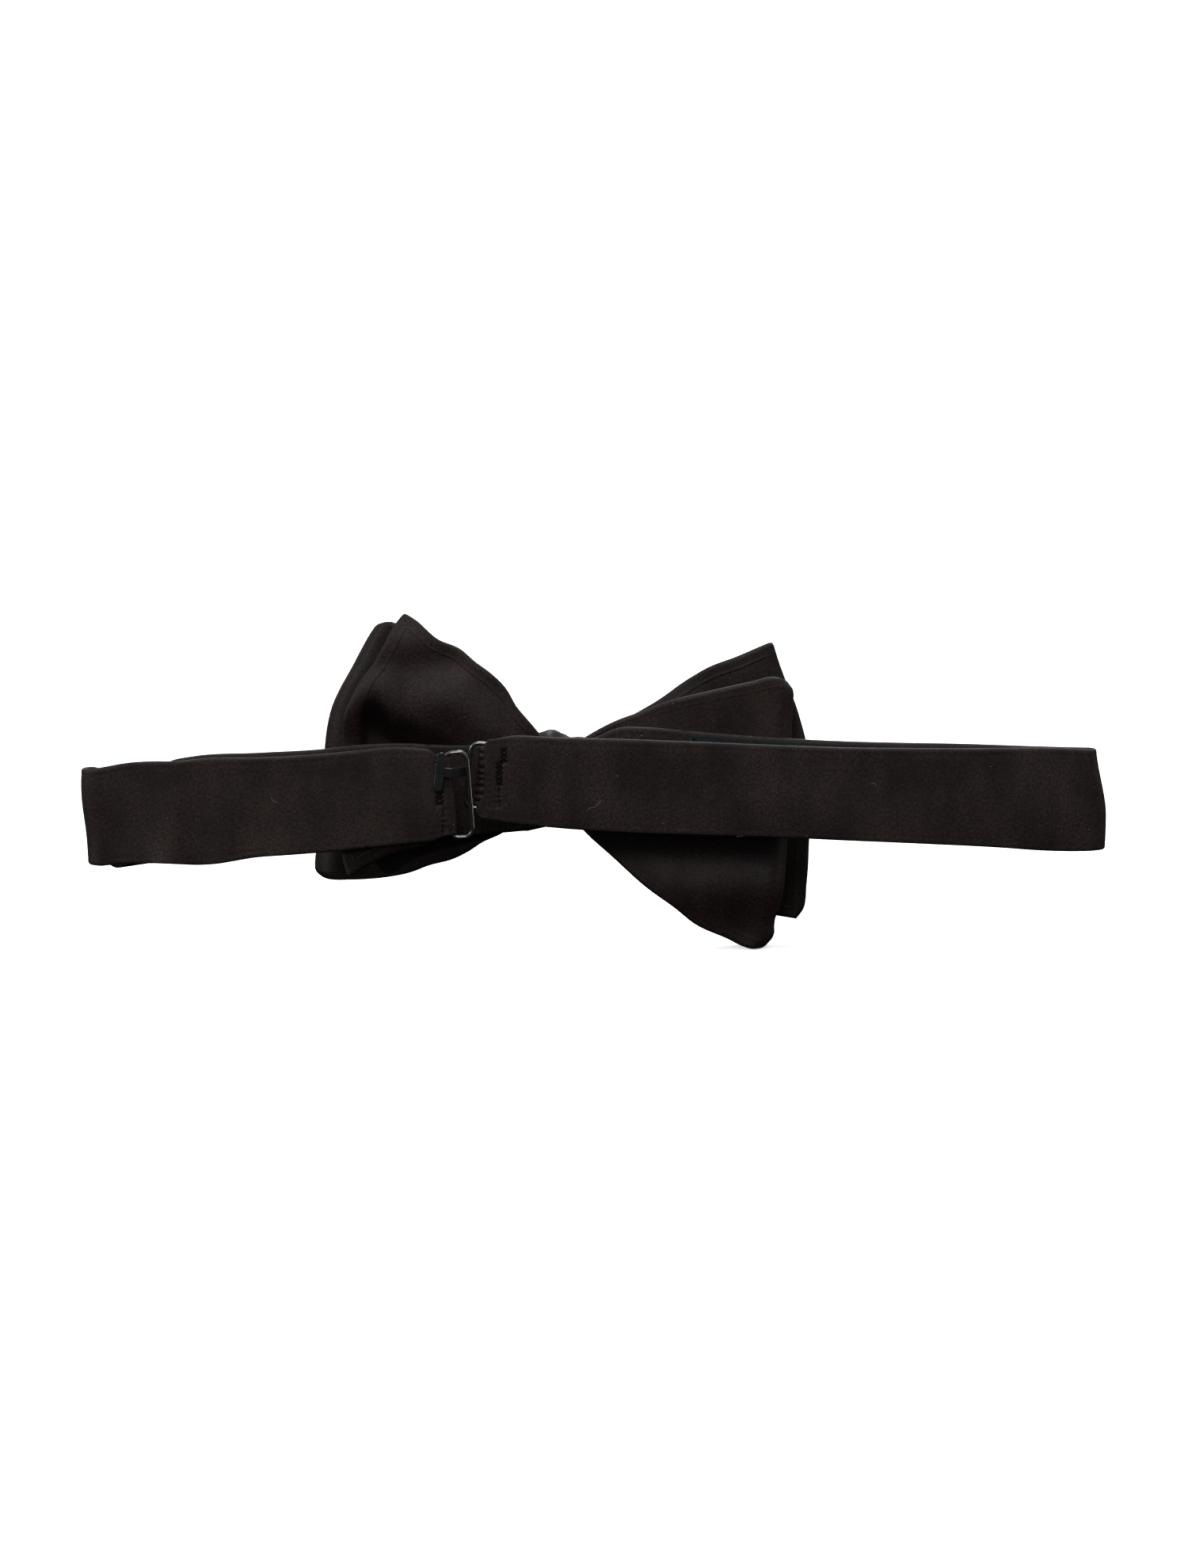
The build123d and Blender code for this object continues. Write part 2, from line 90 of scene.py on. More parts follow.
def smooth(points, fine=16):
    """A smooth line through the given points."""
    p = np.array(points, float)
    gap = np.linalg.norm(np.diff(p, axis=0), axis=1)[:, None]
    slope = np.diff(p, axis=0) / gap
    inner = (slope[:-1] * gap[1:] + slope[1:] * gap[:-1]) / (gap[:-1] + gap[1:])
    tangent = np.vstack([slope[:1], inner, slope[-1:]])
    t = np.linspace(0, 1, fine, endpoint=False)[:, None]
    pieces = []
    for i in range(len(gap)):
        pieces.append((2 * t**3 - 3 * t**2 + 1) * p[i] + (t**3 - 2 * t**2 + t) * gap[i] * tangent[i]
                      + (3 * t**2 - 2 * t**3) * p[i + 1] + (t**3 - t**2) * gap[i] * tangent[i + 1])
    return np.vstack(pieces + [p[-1:]])


def profile(points):
    """A smooth height as a function of X."""
    line = smooth(sorted(points))
    return lambda x: np.interp(x, line[:, 0], line[:, 1])


def ramp(x, low, high):
    """0 before low, 1 after high, and smooth between them."""
    t = np.clip((np.asarray(x, float) - low) / (high - low), 0, 1)
    return t * t * (3 - 2 * t)


def between(a, b, share):
    """a at share 0 and b at share 1."""
    return a * (1 - share) + b * share


def bump(x, middle, width):
    """1 at the middle, dying away on both sides."""
    return np.exp(-(((np.asarray(x, float) - middle) / width) ** 2))


def waves(a, b, seed, longest=42.0, shortest=13.0, count=7):
    """Soft irregular waves over two coordinates, about -1 to 1."""
    rng = np.random.RandomState(seed)
    total = 0
    for _ in range(count):
        turn, phase = rng.uniform(0, pi), rng.uniform(0, 2 * pi)
        length = rng.uniform(shortest, longest)
        total = total + np.sin((a * cos(turn) + b * sin(turn)) * 2 * pi / length + phase)
    return total / count ** 0.5 / 1.3


def unit(v):
    return v / np.maximum(np.linalg.norm(v, axis=-1, keepdims=True), 1e-9)


def along_grid(grid, closed):
    return np.roll(grid, -1, 0) - np.roll(grid, 1, 0) if closed else np.gradient(grid, axis=0)


RIM_TURN = (30, 62, 90, 118, 150)       # degrees round a rim, from one face to the other
FAR_UV = (0.4, 3.1)                     # the far face's cloth pattern is shifted by this


def new_object(name, data):
    made = bpy.data.objects.new(name, data)
    bpy.context.scene.collection.objects.link(made)
    return made


def cloth(name, grid, half, material, uv, closed=False, seam=0.75, relief=None):
    """A closed cloth mesh round a grid of its middle: two faces, and a rounded rim with a seam notch."""
    nu, nv = grid.shape[:2]
    half = np.broadcast_to(np.asarray(half, float), (nu, nv))
    side_u, side_v = unit(along_grid(grid, closed)), unit(np.gradient(grid, axis=1))
    normal = unit(np.cross(along_grid(grid, closed), np.gradient(grid, axis=1)))
    lift = np.zeros((nu, nv)) if relief is None else relief
    top = grid + normal * (half + lift)[..., None]
    bottom = grid - normal * (half + lift)[..., None]
    index = np.arange(nu * nv).reshape(nu, nv)
    verts = [top.reshape(-1, 3), bottom.reshape(-1, 3)]
    uvs = [uv.reshape(-1, 2), uv.reshape(-1, 2) + FAR_UV]
    faces = []
    last = nu if closed else nu - 1
    for i in range(last):
        k = (i + 1) % nu
        for j in range(nv - 1):
            a, b, c, d = index[i, j], index[k, j], index[k, j + 1], index[i, j + 1]
            faces.append((a, b, c, d))
            faces.append((a + nu * nv, d + nu * nv, c + nu * nv, b + nu * nv))
    total = 2 * nu * nv
    if closed:
        loops = [[(i, 0) for i in range(nu)], [(i, nv - 1) for i in range(nu)][::-1]]
    else:
        around = [(i, 0) for i in range(nu)] + [(nu - 1, j) for j in range(1, nv)]
        around += [(i, nv - 1) for i in range(nu - 2, -1, -1)] + [(0, j) for j in range(nv - 2, 0, -1)]
        loops = [around]
    for loop in loops:
        n = len(loop)
        out = np.zeros((n, 3))
        for m, (i, j) in enumerate(loop):
            if j == 0:
                out[m] -= side_v[i, j]
            if j == nv - 1:
                out[m] += side_v[i, j]
            if not closed and i == 0:
                out[m] -= side_u[i, j]
            if not closed and i == nu - 1:
                out[m] += side_u[i, j]
        ii, jj = np.array([p[0] for p in loop]), np.array([p[1] for p in loop])
        n0, h0, p0 = normal[ii, jj], (half + lift)[ii, jj][:, None], grid[ii, jj]
        out = unit(out - (out * n0).sum(1, keepdims=True) * n0)
        rings = [index[ii, jj]]
        for turn in RIM_TURN:
            a, reach = radians(turn), seam if turn == 90 else 1.0
            verts.append(p0 + out * h0 * sin(a) * reach + n0 * h0 * cos(a))
            uvs.append(uv[ii, jj] + np.array([0.0, turn / 90.0]))
            rings.append(np.arange(total, total + n))
            total += n
        rings.append(index[ii, jj] + nu * nv)
        for r0, r1 in zip(rings, rings[1:]):
            for m in range(n):
                k = (m + 1) % n
                faces.append((int(r0[m]), int(r1[m]), int(r1[k]), int(r0[k])))
    mesh = bpy.data.meshes.new(name)
    verts, uvs = np.vstack(verts), np.vstack(uvs)
    mesh.from_pydata((verts * MM).tolist(), [], [tuple(int(q) for q in f) for f in faces])
    layer = mesh.uv_layers.new(name="cloth")
    corner = np.empty(len(mesh.loops), int)
    mesh.loops.foreach_get("vertex_index", corner)
    layer.data.foreach_set("uv", uvs[corner].ravel())
    mesh.validate()
    mesh.update()
    return shown(mesh, material)


def shown(mesh, material):
    """A new object of the mesh's name, with outward faces, shaded smooth."""
    work = bmesh.new()
    work.from_mesh(mesh)
    bmesh.ops.recalc_face_normals(work, faces=work.faces)
    work.to_mesh(mesh)
    work.free()
    mesh.shade_smooth()
    mesh.materials.append(material)
    return new_object(mesh.name, mesh)


def place_piece(piece, body, slot, *solids):
    """A piece rides on its body, in place of the plain CAD solids that it stands for."""
    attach(piece, body)
    if solids:
        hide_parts(*solids)
    return piece


# ---- materials


def nodes_of(name):
    material = bpy.data.materials.new(name)
    material.use_nodes = True
    tree = material.node_tree
    return material, tree, tree.nodes["Principled BSDF"]


def set_socket(socket, value):
    """Links the socket to the value if that is a node's output."""
    if hasattr(value, "is_output"):
        socket.id_data.links.new(value, socket)
    else:
        socket.default_value = value


def set_inputs(node, **values):
    for key, value in values.items():
        set_socket(node.inputs[key.replace("_", " ")], value)


def add_node(tree, kind, **values):
    node = tree.nodes.new("ShaderNode" + kind)
    set_inputs(node, **values)
    return node


def noise(vector, scale, detail=2.0, rough=0.5):
    node = add_node(vector.id_data, "TexNoise", Scale=scale, Detail=detail, Roughness=rough, Vector=vector)
    return node.outputs["Fac"]


def colour_ramp(factor, stops):
    node = add_node(factor.id_data, "ValToRGB", Fac=factor)
    ramp_stops = node.color_ramp.elements
    while len(ramp_stops) < len(stops):
        ramp_stops.new(0.5)
    for element, (place, colour) in zip(ramp_stops, stops):
        element.position = place
        element.color = (*colour, 1.0)
    return node.outputs["Color"]


def mix_colour(factor, a, b, kind="MIX"):
    node = add_node(a.id_data, "Mix")
    node.data_type, node.blend_type = "RGBA", kind
    for value, socket in ((factor, node.inputs[0]), (a, node.inputs[6]), (b, node.inputs[7])):
        set_socket(socket, value)
    return node.outputs[2]


def add_bump(height, strength, distance, before=None):
    node = add_node(height.id_data, "Bump", Strength=strength, Distance=distance * MM, Height=height)
    if before is not None:
        set_inputs(node, Normal=before)
    return node.outputs["Normal"]


def cloth_place(tree):
    """The cloth's own coordinates, in millimetres."""
    node = add_node(tree, "UVMap")
    node.uv_map = "cloth"
    return node.outputs["UV"]


def object_place(tree):
    return add_node(tree, "TexCoord").outputs["Object"]


def rough_between(shader, factor, low, high):
    node = add_node(factor.id_data, "MapRange", To_Min=low, To_Max=high, Value=factor)
    set_inputs(shader, Roughness=node.outputs["Result"])


WAVE_SCALE = 0.314      # a wave texture of this scale repeats once in a unit's length


def weave(vector, pitch, angle):
    """Diagonal or straight yarns across the cloth's own coordinates."""
    tree = vector.id_data
    turn = add_node(tree, "Mapping", Rotation=(0, 0, radians(angle)), Vector=vector)
    node = add_node(tree, "TexWave", Scale=WAVE_SCALE / pitch, Distortion=0.6, Detail=1.0,
                    Vector=turn.outputs["Vector"])
    node.wave_profile = "SIN"
    return node.outputs["Fac"]


def satin(name, dark, light, rough=0.52, sheen=0.02, speck=0.5):
    """Matt satin: fine twill, cloudy colour, a soft sheen and a little lint."""
    material, tree, shader = nodes_of(name)
    vector = cloth_place(tree)
    stretch = add_node(tree, "Mapping", Scale=(1.0, 0.45, 1.0), Vector=vector)
    patches = noise(stretch.outputs["Vector"], 0.11, 3.0)
    cloud = colour_ramp(patches, [(0.34, dark), (0.66, light)])
    grain = colour_ramp(noise(vector, 1.6, 4.0, 0.9), [(0.36, (0.10,) * 3), (0.66, (2.1,) * 3)])
    base = mix_colour(0.9, cloud, grain, "MULTIPLY")
    lint = colour_ramp(noise(vector, 1.7, 0.0), [(0.86, (0,) * 3), (0.90, (1,) * 3)])
    base = mix_colour(lint, base, (0.16 * speck, 0.14 * speck, 0.13 * speck, 1.0))
    rough_between(shader, noise(vector, 0.6, 3.0), rough - 0.07, rough + 0.07)
    normal = add_bump(noise(vector, 0.22, 2.0), 0.4, 0.35)
    normal = add_bump(weave(vector, 0.42, 58), 0.5, 0.04, normal)
    normal = add_bump(noise(vector, 2.6, 3.0, 0.7), 0.7, 0.07, normal)
    set_inputs(shader, Base_Color=base, Normal=normal, Sheen_Weight=sheen, Sheen_Roughness=0.35,
               Specular_IOR_Level=0.15, Sheen_Tint=(0.62, 0.52, 0.47, 1.0))
    return material


def ribbed_tape():
    """Grosgrain: fine ribs across a greenish-black tape."""
    material, tree, shader = nodes_of("size_tape_grosgrain")
    vector = cloth_place(tree)
    base = colour_ramp(noise(vector, 0.8, 3.0),
                       [(0.3, (0.0032, 0.0058, 0.0058)), (0.8, (0.0070, 0.0110, 0.0102))])
    normal = add_bump(weave(vector, 0.55, 0), 0.8, 0.08)
    normal = add_bump(noise(vector, 3.0, 2.0), 0.4, 0.04, normal)
    set_inputs(shader, Base_Color=base, Normal=normal, Roughness=0.7, Sheen_Weight=0.04,
               Sheen_Roughness=0.4, Specular_IOR_Level=0.2)
    return material


def enamel():
    """Black enamelled metal: glossy, with faint ripples and slightly worn patches."""
    material, tree, shader = nodes_of("black_enamel")
    place = object_place(tree)
    worn = colour_ramp(noise(place, 900.0, 3.0),
                       [(0.45, (0.0100, 0.0106, 0.0112)), (0.8, (0.0175, 0.0184, 0.0192))])
    rough_between(shader, noise(place, 600.0, 3.0), 0.14, 0.27)
    rounded = add_node(tree, "Bevel", Radius=0.22 * MM)         # the stamped edges are a little round
    rounded.samples = 6
    ripples = add_bump(noise(place, 700.0, 2.0), 0.25, 0.05, before=rounded.outputs["Normal"])
    set_inputs(shader, Base_Color=worn, Normal=ripples, Specular_IOR_Level=0.7, Coat_Weight=0.8,
               Coat_Roughness=0.12)
    return material


def thread_material():
    """Dark sewing thread with a fine twist."""
    material, tree, shader = nodes_of("dark_thread")
    place = object_place(tree)
    base = colour_ramp(noise(place, 4000.0, 2.0), [(0.3, (0.0012,) * 3), (0.8, (0.0035,) * 3)])
    twist = add_bump(noise(place, 9000.0, 2.0), 0.5, 0.04)
    set_inputs(shader, Base_Color=base, Normal=twist, Roughness=0.6, Specular_IOR_Level=0.05)
    return material


def lint_material():
    """A pale stray fibre."""
    material, tree, shader = nodes_of("pale_lint")
    base = colour_ramp(noise(object_place(tree), 2000.0, 2.0),
                       [(0.3, (0.10, 0.09, 0.08)), (0.8, (0.22, 0.20, 0.18))])
    set_inputs(shader, Base_Color=base, Roughness=0.8)
    return material


SATIN = satin("brown_black_satin", (0.0095, 0.0058, 0.0053), (0.0175, 0.0110, 0.0100))
SATIN_BAND = satin("band_satin", (0.0088, 0.0056, 0.0051), (0.0185, 0.0124, 0.0112), speck=0.8)
# A darker copy of the satin: painted shade for the far end, the far loop, the knot's wrap and the left
# inner band
SATIN_PAINTED_SHADE = satin("painted_shade_satin", (0.0070, 0.0048, 0.0041), (0.0128, 0.0090, 0.0076))
TAPE = ribbed_tape()
ENAMEL = enamel()
THREAD = thread_material()
LINT = lint_material()


# ---- the bow's blades


BLADE_ROWS = 34         # mesh rows between a blade's two seams
FOLD_STEPS = 19         # mesh columns round a loop's fold


def rows_between(width):
    """Shares across a blade, finer beside its two edges, for each width."""
    edge = EDGE_ROWS[:, None] / width[None, :]
    first, final = edge[-1], 1 - edge[-1]
    middle = first + (final - first) * (np.arange(1, BLADE_ROWS)[:, None] / BLADE_ROWS)
    return np.vstack([edge, middle, (1 - edge)[::-1]]).T


def columns_to(length):
    """Shares along a blade from the knot, finer beside its outer edge."""
    edge = 1 - EDGE_ROWS[::-1] / length
    return np.concatenate([np.linspace(0, edge[0], int(length / STEP) + 1)[:-1], edge])


def patch(low, high, outer, s, t):
    """A blade's X and Z at shares s from the knot and t up, from its lower, upper and outer edges."""
    s, t = s[..., None], t[..., None]
    a, b, c = at_share(low, s[..., 0]), at_share(high, s[..., 0]), at_share(outer, t[..., 0])
    inner = low[0] + (high[0] - low[0]) * t
    corners = (1 - s) * (1 - t) * low[0] + (1 - s) * t * high[0] + s * (1 - t) * low[-1] + s * t * high[-1]
    return (1 - t) * a + t * b + (1 - s) * inner + s * c - corners


def edge_relief(distance, deep=0.10):
    """The raised seam line inside a sewn edge, and the slight swell outside it."""
    seam = bump(distance, SEAM_IN, 0.14) - 0.5 * bump(distance, SEAM_IN + 0.4, 0.25)
    return deep * seam + 0.02 * bump(distance, 0.3, 0.3)


def outlines(low, high, outer):
    """A blade's three edges as smooth lines, and its upper edge's length."""
    low, high, outer = smooth(low), smooth(high), smooth(outer)
    return low, high, outer, np.linalg.norm(np.diff(high, axis=0), axis=1).sum()


def place_blade(piece, *layers):
    """A blade rides on the bow in place of its layers of plain CAD cloth."""
    return place_piece(piece, "bow", "satin", *(f"{piece.name}_{layer}" for layer in layers))


def flat_blade(name, low, high, outer, depth, material):
    """A flat sewn end: depth gives the Y of its middle from X, Z and the shares along and up."""
    low, high, outer, length = outlines(low, high, outer)
    s = columns_to(length)
    width = np.linalg.norm(at_share(high, s) - at_share(low, s), axis=1)
    t = rows_between(width)
    s2 = np.repeat(s[:, None], t.shape[1], 1)
    xz = patch(low, high, outer, s2, t)
    x, z = xz[..., 0], xz[..., 1]
    grid = np.stack([x, depth(x, z, s2, t), z], -1)
    off = np.minimum(np.minimum(t, 1 - t) * width[:, None], (1 - s2) * length)
    piece = cloth(name, grid, BLADE_HALF, material, xz, relief=edge_relief(off))
    return place_blade(piece, "back_fabric", "interlining", "front_fabric")


def loop_blade(name, low, high, outer, depths, roll, material, far_drop=0.0):
    """A folded loop: a near leaf, a round fold and a far leaf. depths gives the two leaves' Y, and roll
    the fold's radius, from the share up; the far leaf hangs lower by far_drop at its upper edge."""
    low, high, outer, length = outlines(low, high, outer)
    leaf = np.linspace(0, 1, int(length / STEP))
    around = np.linspace(-pi / 2, pi / 2, FOLD_STEPS)
    width = np.linalg.norm(at_share(high, np.ones(1)) - at_share(low, np.ones(1)), axis=1)
    t = rows_between(width)[0]
    share = [(u, 0.0, -1.0) for u in leaf[:-1]]
    share += [(1.0, cos(a), sin(a)) for a in around]
    share = np.array(share + [(u, 0.0, 1.0) for u in leaf[::-1][1:]])
    t2 = np.repeat(t[None, :], len(share), 0)
    radius = roll(t2)
    s_end = 1 - radius / length
    s2 = share[:, :1] * s_end + share[:, 1:2] * radius / length
    xz = patch(low, high, outer, s2, t2)
    x, z = xz[..., 0], xz[..., 1]
    near, far = depths(s2 / s_end.clip(0.1), t2, x, z)
    middle, half = (near + far) / 2, (near - far) / 2
    y = middle - half * share[:, 2:3]
    z = z - far_drop * (share[:, 2:3] + 1) / 2 * t2
    grid = np.stack([x, y, z], -1)
    off = np.minimum(t2, 1 - t2) * width[0]
    run = np.cumsum(np.concatenate([[0], np.linalg.norm(np.diff(grid[:, len(t) // 2], axis=0), axis=1)]))
    uv = np.stack([np.repeat(run[:, None], len(t), 1), t2 * width[0]], -1)
    piece = cloth(name, grid, BLADE_HALF, material, uv, relief=edge_relief(off, 0.04))
    return place_blade(piece, "outer_fabric", "interlining", "inner_fabric")


def gathers(s, t, seed, count, size, reach=0.26):
    """Pleats that fan out of the knot and die away along the blade."""
    rng = np.random.RandomState(seed)
    phase = rng.uniform(0, 2 * pi)
    wobble = 0.5 * np.sin(2 * pi * t * 1.3 + rng.uniform(0, 2 * pi))
    return size * np.sin(2 * pi * count * t + phase + wobble) * np.exp(-s / reach)


HOLLOW_DEEP = 4.4
# The upper edge of the near blade's tucked hollow, as X and Z
HOLLOW_TOP = profile([(16, 6), (23.1, 8.5), (28, 10.7), (31.7, 12.4), (35, 13.2), (37.5, 15.4), (40, 16.8),
                      (42.5, 16.2), (47, 14)])


def rear_end_depth(x, z, s, t):
    """Drape of the near blade at +X: it leans back above a crest, and is tucked in above the band."""
    crest = 10.0 + 7.5 * ramp(x, 10, 26)
    lean = 1 - ramp(z, crest, crest + 11)
    under = 1 - ramp(z, crest - 9.5, crest)
    y = -4.9 + ramp(x, 4, 16) * (2.4 * lean - (1.3 + 0.7 * ramp(x, 16, 28)) * under)
    y = y + 0.7 * (ramp(z, 25, 30.5) - 1.5 * ramp(z, 30.5, 37)) * ramp(x, 14, 26)
    softness = 0.5 + 0.7 * bump(x, 40, 3.5)
    tucked = 1 / (1 + np.exp((z - HOLLOW_TOP(x)) / softness))
    tucked = tucked * ramp(x, 18, 24) * (1 - ramp(x, 42.6, 44.8)) * ramp(z, -5, 3)
    hollow = -7.4 - HOLLOW_DEEP * ramp(HOLLOW_TOP(x) - z, 0, 7)
    y = y + (hollow - y) * tucked
    y = y + 0.5 * waves(x, z, 5, 26, 10) * ramp(x, 8, 16) * (1 - tucked)
    y = y + gathers(s, t, 2, 2.4, 0.55, 0.2) * ramp(z, 14, 6)
    return y


def rear_end():
    """The flat end behind the bow at +X."""
    low = [(3.2, -6.2), (8.8, -7.2), (16, -10.4), (24.5, -12.9), (31.5, -14.6), (38.5, -16.7),
           (42, -18.6), (45.6, -21)]
    high = [(3.2, 9.4), (4.6, 11.2), (6.2, 13.1), (8.6, 15.9), (11, 20), (14.7, 23.7),
            (18, 26.1), (21.4, 29), (26.3, 31.2), (31.2, 35.4), (33.2, 36.7)]
    outer = [(45.6, -21), (46.5, -18), (46.7, -6), (46.5, 7.9), (45.8, 15.5), (44.4, 18.9),
             (42.2, 22.6), (39.9, 25.4), (37.4, 29.8), (35.2, 34), (33.2, 36.7)]
    return flat_blade("rear_end", low, high, outer, rear_end_depth, SATIN)


FRONT_END_BACK = -14.0  # the far end stays in front of the near loop, from here on


def front_end_depth(x, z, s, t):
    """Drape of the far flat end at -X: pleats near the knot, then one long soft swell."""
    y = -16.4 + 0.9 * np.sin((x + 12) / 14.0) + 1.3 * bump(z, 4, 14) * ramp(-x, 14, 30)
    y = y + 0.5 * waves(x, z, 11, 34, 15) * ramp(-x, 8, 18) + gathers(s, t, 4, 2.6, 1.5, 0.33)
    return np.minimum(y, FRONT_END_BACK)


def front_end():
    """The flat end in front of the bow at -X."""
    low = [(-3.2, -6.2), (-8.8, -7.6), (-18, -14), (-30, -22.6), (-40, -28.6), (-48, -31.6),
           (-53.9, -32.6)]
    high = [(-3.2, 5), (-8.8, 7.2), (-12.1, 9.1), (-17.9, 12.5), (-23.6, 15.9), (-29.9, 20.3),
            (-34.7, 23.2), (-41, 25.6), (-48.2, 28.6)]
    outer = [(-53.9, -32.6), (-54.9, -31.2), (-55.7, -25.4), (-56.3, -14.8), (-56.3, -4), (-55.5, 6.9),
             (-54.4, 11.1), (-52.5, 16.9), (-51.4, 19.4), (-49.5, 24.4), (-48.2, 28.6)]
    # The far end wears the darker satin copy, which is painted shade
    return flat_blade("front_end", low, high, outer, front_end_depth, SATIN_PAINTED_SHADE)


def rear_loop_depths(s, t, x, z):
    """Y of the loop's two leaves: pinched at the knot and fullest before the fold."""
    open_up = ramp(s, 0.02, 0.62)
    near = -6.4 + 1.7 * open_up + 2.6 * bump(z, -23.5, 6.5) * ramp(-x, 12, 26)
    near = near + 0.42 * waves(x, z, 21, 30, 12) * ramp(s, 0.1, 0.4) + gathers(s, t, 6, 2.3, 0.6, 0.2)
    far = -9.6 - 2.3 * open_up + 0.3 * waves(x, z, 22) + gathers(s, t, 7, 2.0, 0.5, 0.2)
    return near, far


def rear_loop():
    """The folded loop behind the bow at -X."""
    low = [(-3.2, -6.6), (-6.8, -11), (-13.1, -16.7), (-19.3, -22.1), (-26.6, -27.4), (-31.9, -31.8),
           (-38, -34.7), (-44.6, -37.4), (-46.6, -37.2)]
    high = [(-3.2, 6.4), (-8.8, 10), (-14, 12.7), (-19.8, 14.8), (-25, 17), (-34, 19.4),
            (-44, 21.6), (-49.4, 22.6), (-51.2, 21.8)]
    outer = [(-46.6, -37.2), (-48.2, -35.2), (-48.3, -32.4), (-49.2, -29.2), (-50, -26.4), (-50.8, -19.4),
             (-51.2, -12), (-51.8, 2), (-52, 11.4), (-52.3, 17.4), (-52.3, 20.2), (-51.2, 21.8)]
    return loop_blade("rear_loop", low, high, outer, rear_loop_depths, lambda t: 3.1 + 0 * t, SATIN,
                      far_drop=1.3)


def front_loop_depths(s, t, x, z):
    """Y of the far loop's two leaves; the near one gives way to the near blade's hollow."""
    open_up = ramp(s, 0.02, 0.7)
    near = -12.0 + 2.2 * open_up + 0.3 * waves(x, z, 31)
    near = near - HOLLOW_DEEP * bump(x, 32, 12) * bump(z, 7, 9)
    far = -14.6 - 4.6 * open_up + 0.5 * waves(x, z, 32) * ramp(s, 0.1, 0.4)
    return near, far + gathers(s, t, 9, 2.3, 1.5, 0.33)


def front_loop():
    """The puffy loop in front of the bow at +X; its fold leans out at the bottom."""
    low = [(3.2, -7.4), (8.6, -10.2), (12.6, -12.7), (16.5, -14.4), (19.6, -16.4), (22.9, -18),
           (28.7, -19.5), (32.6, -21), (37.8, -22.1), (44.3, -22.7), (49, -22.7), (51.7, -22.5)]
    high = [(3.2, 4), (8.8, 8.6), (14, 17), (20, 23.5), (27, 29), (33, 32.6),
            (37, 34.4), (39.6, 33.8)]
    outer = [(51.7, -22.5), (52.8, -21.6), (53, -19.8), (52.5, -16.5), (52.2, -8), (50.9, 4),
             (50.1, 11.3), (49.1, 15.6), (47.4, 19.6), (45, 24), (42.6, 28.6), (41, 31.6), (39.6, 33.8)]
    # The far loop wears the darker satin copy, which is painted shade
    return loop_blade("front_loop", low, high, outer, front_loop_depths, lambda t: 3.0 + 1.6 * (1 - t),
                      SATIN_PAINTED_SHADE, far_drop=2.6)


# ---- the knot


KNOT_Y, KNOT_Z = -12.0, -0.9            # the wrap's middle
KNOT_DEEP, KNOT_TALL = 9.3, 9.0         # its half depth and half height
KNOT_SQUARE = 3.2                       # 2 would make it an ellipse, and more makes it squarer
KNOT_HALF_WIDE = 6.9
KNOT_ROUND, KNOT_ACROSS = 96, 25        # mesh steps round it and across it
KNOT_HALF = 0.7                         # half the wrap's thickness


def knot():
    """The wrap round the bow's middle: a closed band, wide in front and drawn in behind."""
    angle = np.linspace(0, 2 * pi, KNOT_ROUND, endpoint=False)
    c, s = np.cos(angle), np.sin(angle)
    shrink = (np.abs(c) ** KNOT_SQUARE + np.abs(s) ** KNOT_SQUARE) ** (-1 / KNOT_SQUARE)
    y = KNOT_Y + KNOT_DEEP * shrink * c
    z = KNOT_Z + KNOT_TALL * shrink * s
    back = ramp(y, -14, -4)
    top = ramp(z, 2, 7)
    half_wide = KNOT_HALF_WIDE - 2.5 * back - 0.6 * np.abs(s)
    centre = 1.7 * back * top
    grid = np.zeros((KNOT_ROUND, KNOT_ACROSS, 3))
    outward = unit(np.stack([0 * y, y - KNOT_Y, z - KNOT_Z], -1))
    for j, a in enumerate(np.linspace(-1, 1, KNOT_ACROSS)):
        crown = -1.3 * abs(a) ** 3.0
        pleat = 0.42 * np.cos(2 * pi * (1.35 * a + 0.16 * s + 0.1)) * (1 - 0.5 * back)
        raise_top = 4.3 * top * back * bump(a, 0.05, 0.66)
        lift = crown + pleat + raise_top
        grid[:, j, 0] = centre + a * half_wide
        grid[:, j, 1] = y + outward[:, 1] * lift
        grid[:, j, 2] = z + outward[:, 2] * lift
    uv = np.stack([np.repeat(angle[:, None] * 9.5, KNOT_ACROSS, 1), grid[..., 0]], -1)
    # The wrap wears the darker satin copy: painted shade that mutes its upward-facing top
    wrap = cloth("knot_wrap_cloth", grid, KNOT_HALF, SATIN_PAINTED_SHADE, uv, closed=True)
    return place_piece(wrap, "bow", "satin", "knot_wrap", "knot_core")


COLLAR_REACH = 6.6      # how far the strap behind the knot reaches each way
COLLAR_Y = -0.72        # its middle
COLLAR_HALF = 0.86      # half its thickness


def collar_strap():
    """The neckband's middle behind the knot, sewn into the wrap."""
    x = np.linspace(-COLLAR_REACH, COLLAR_REACH, 22)
    t = np.linspace(0, 1, 15)
    high = profile([(-8, 9.7), (0, 9.4), (8, 8.8)])(x)
    low = profile([(-8, -7.3), (0, -8.6), (8, -10.4)])(x)
    z = low[:, None] + (high - low)[:, None] * t[None, :]
    x2 = np.repeat(x[:, None], len(t), 1)
    y = COLLAR_Y + 0.1 * waves(x2, z, 40)
    grid = np.stack([x2, y, z], -1)
    strap = cloth("collar_strap_cloth", grid, COLLAR_HALF, SATIN_BAND, np.stack([x2, z], -1))
    return place_piece(strap, "bow", "satin", "collar_strap")


# ---- the neckband


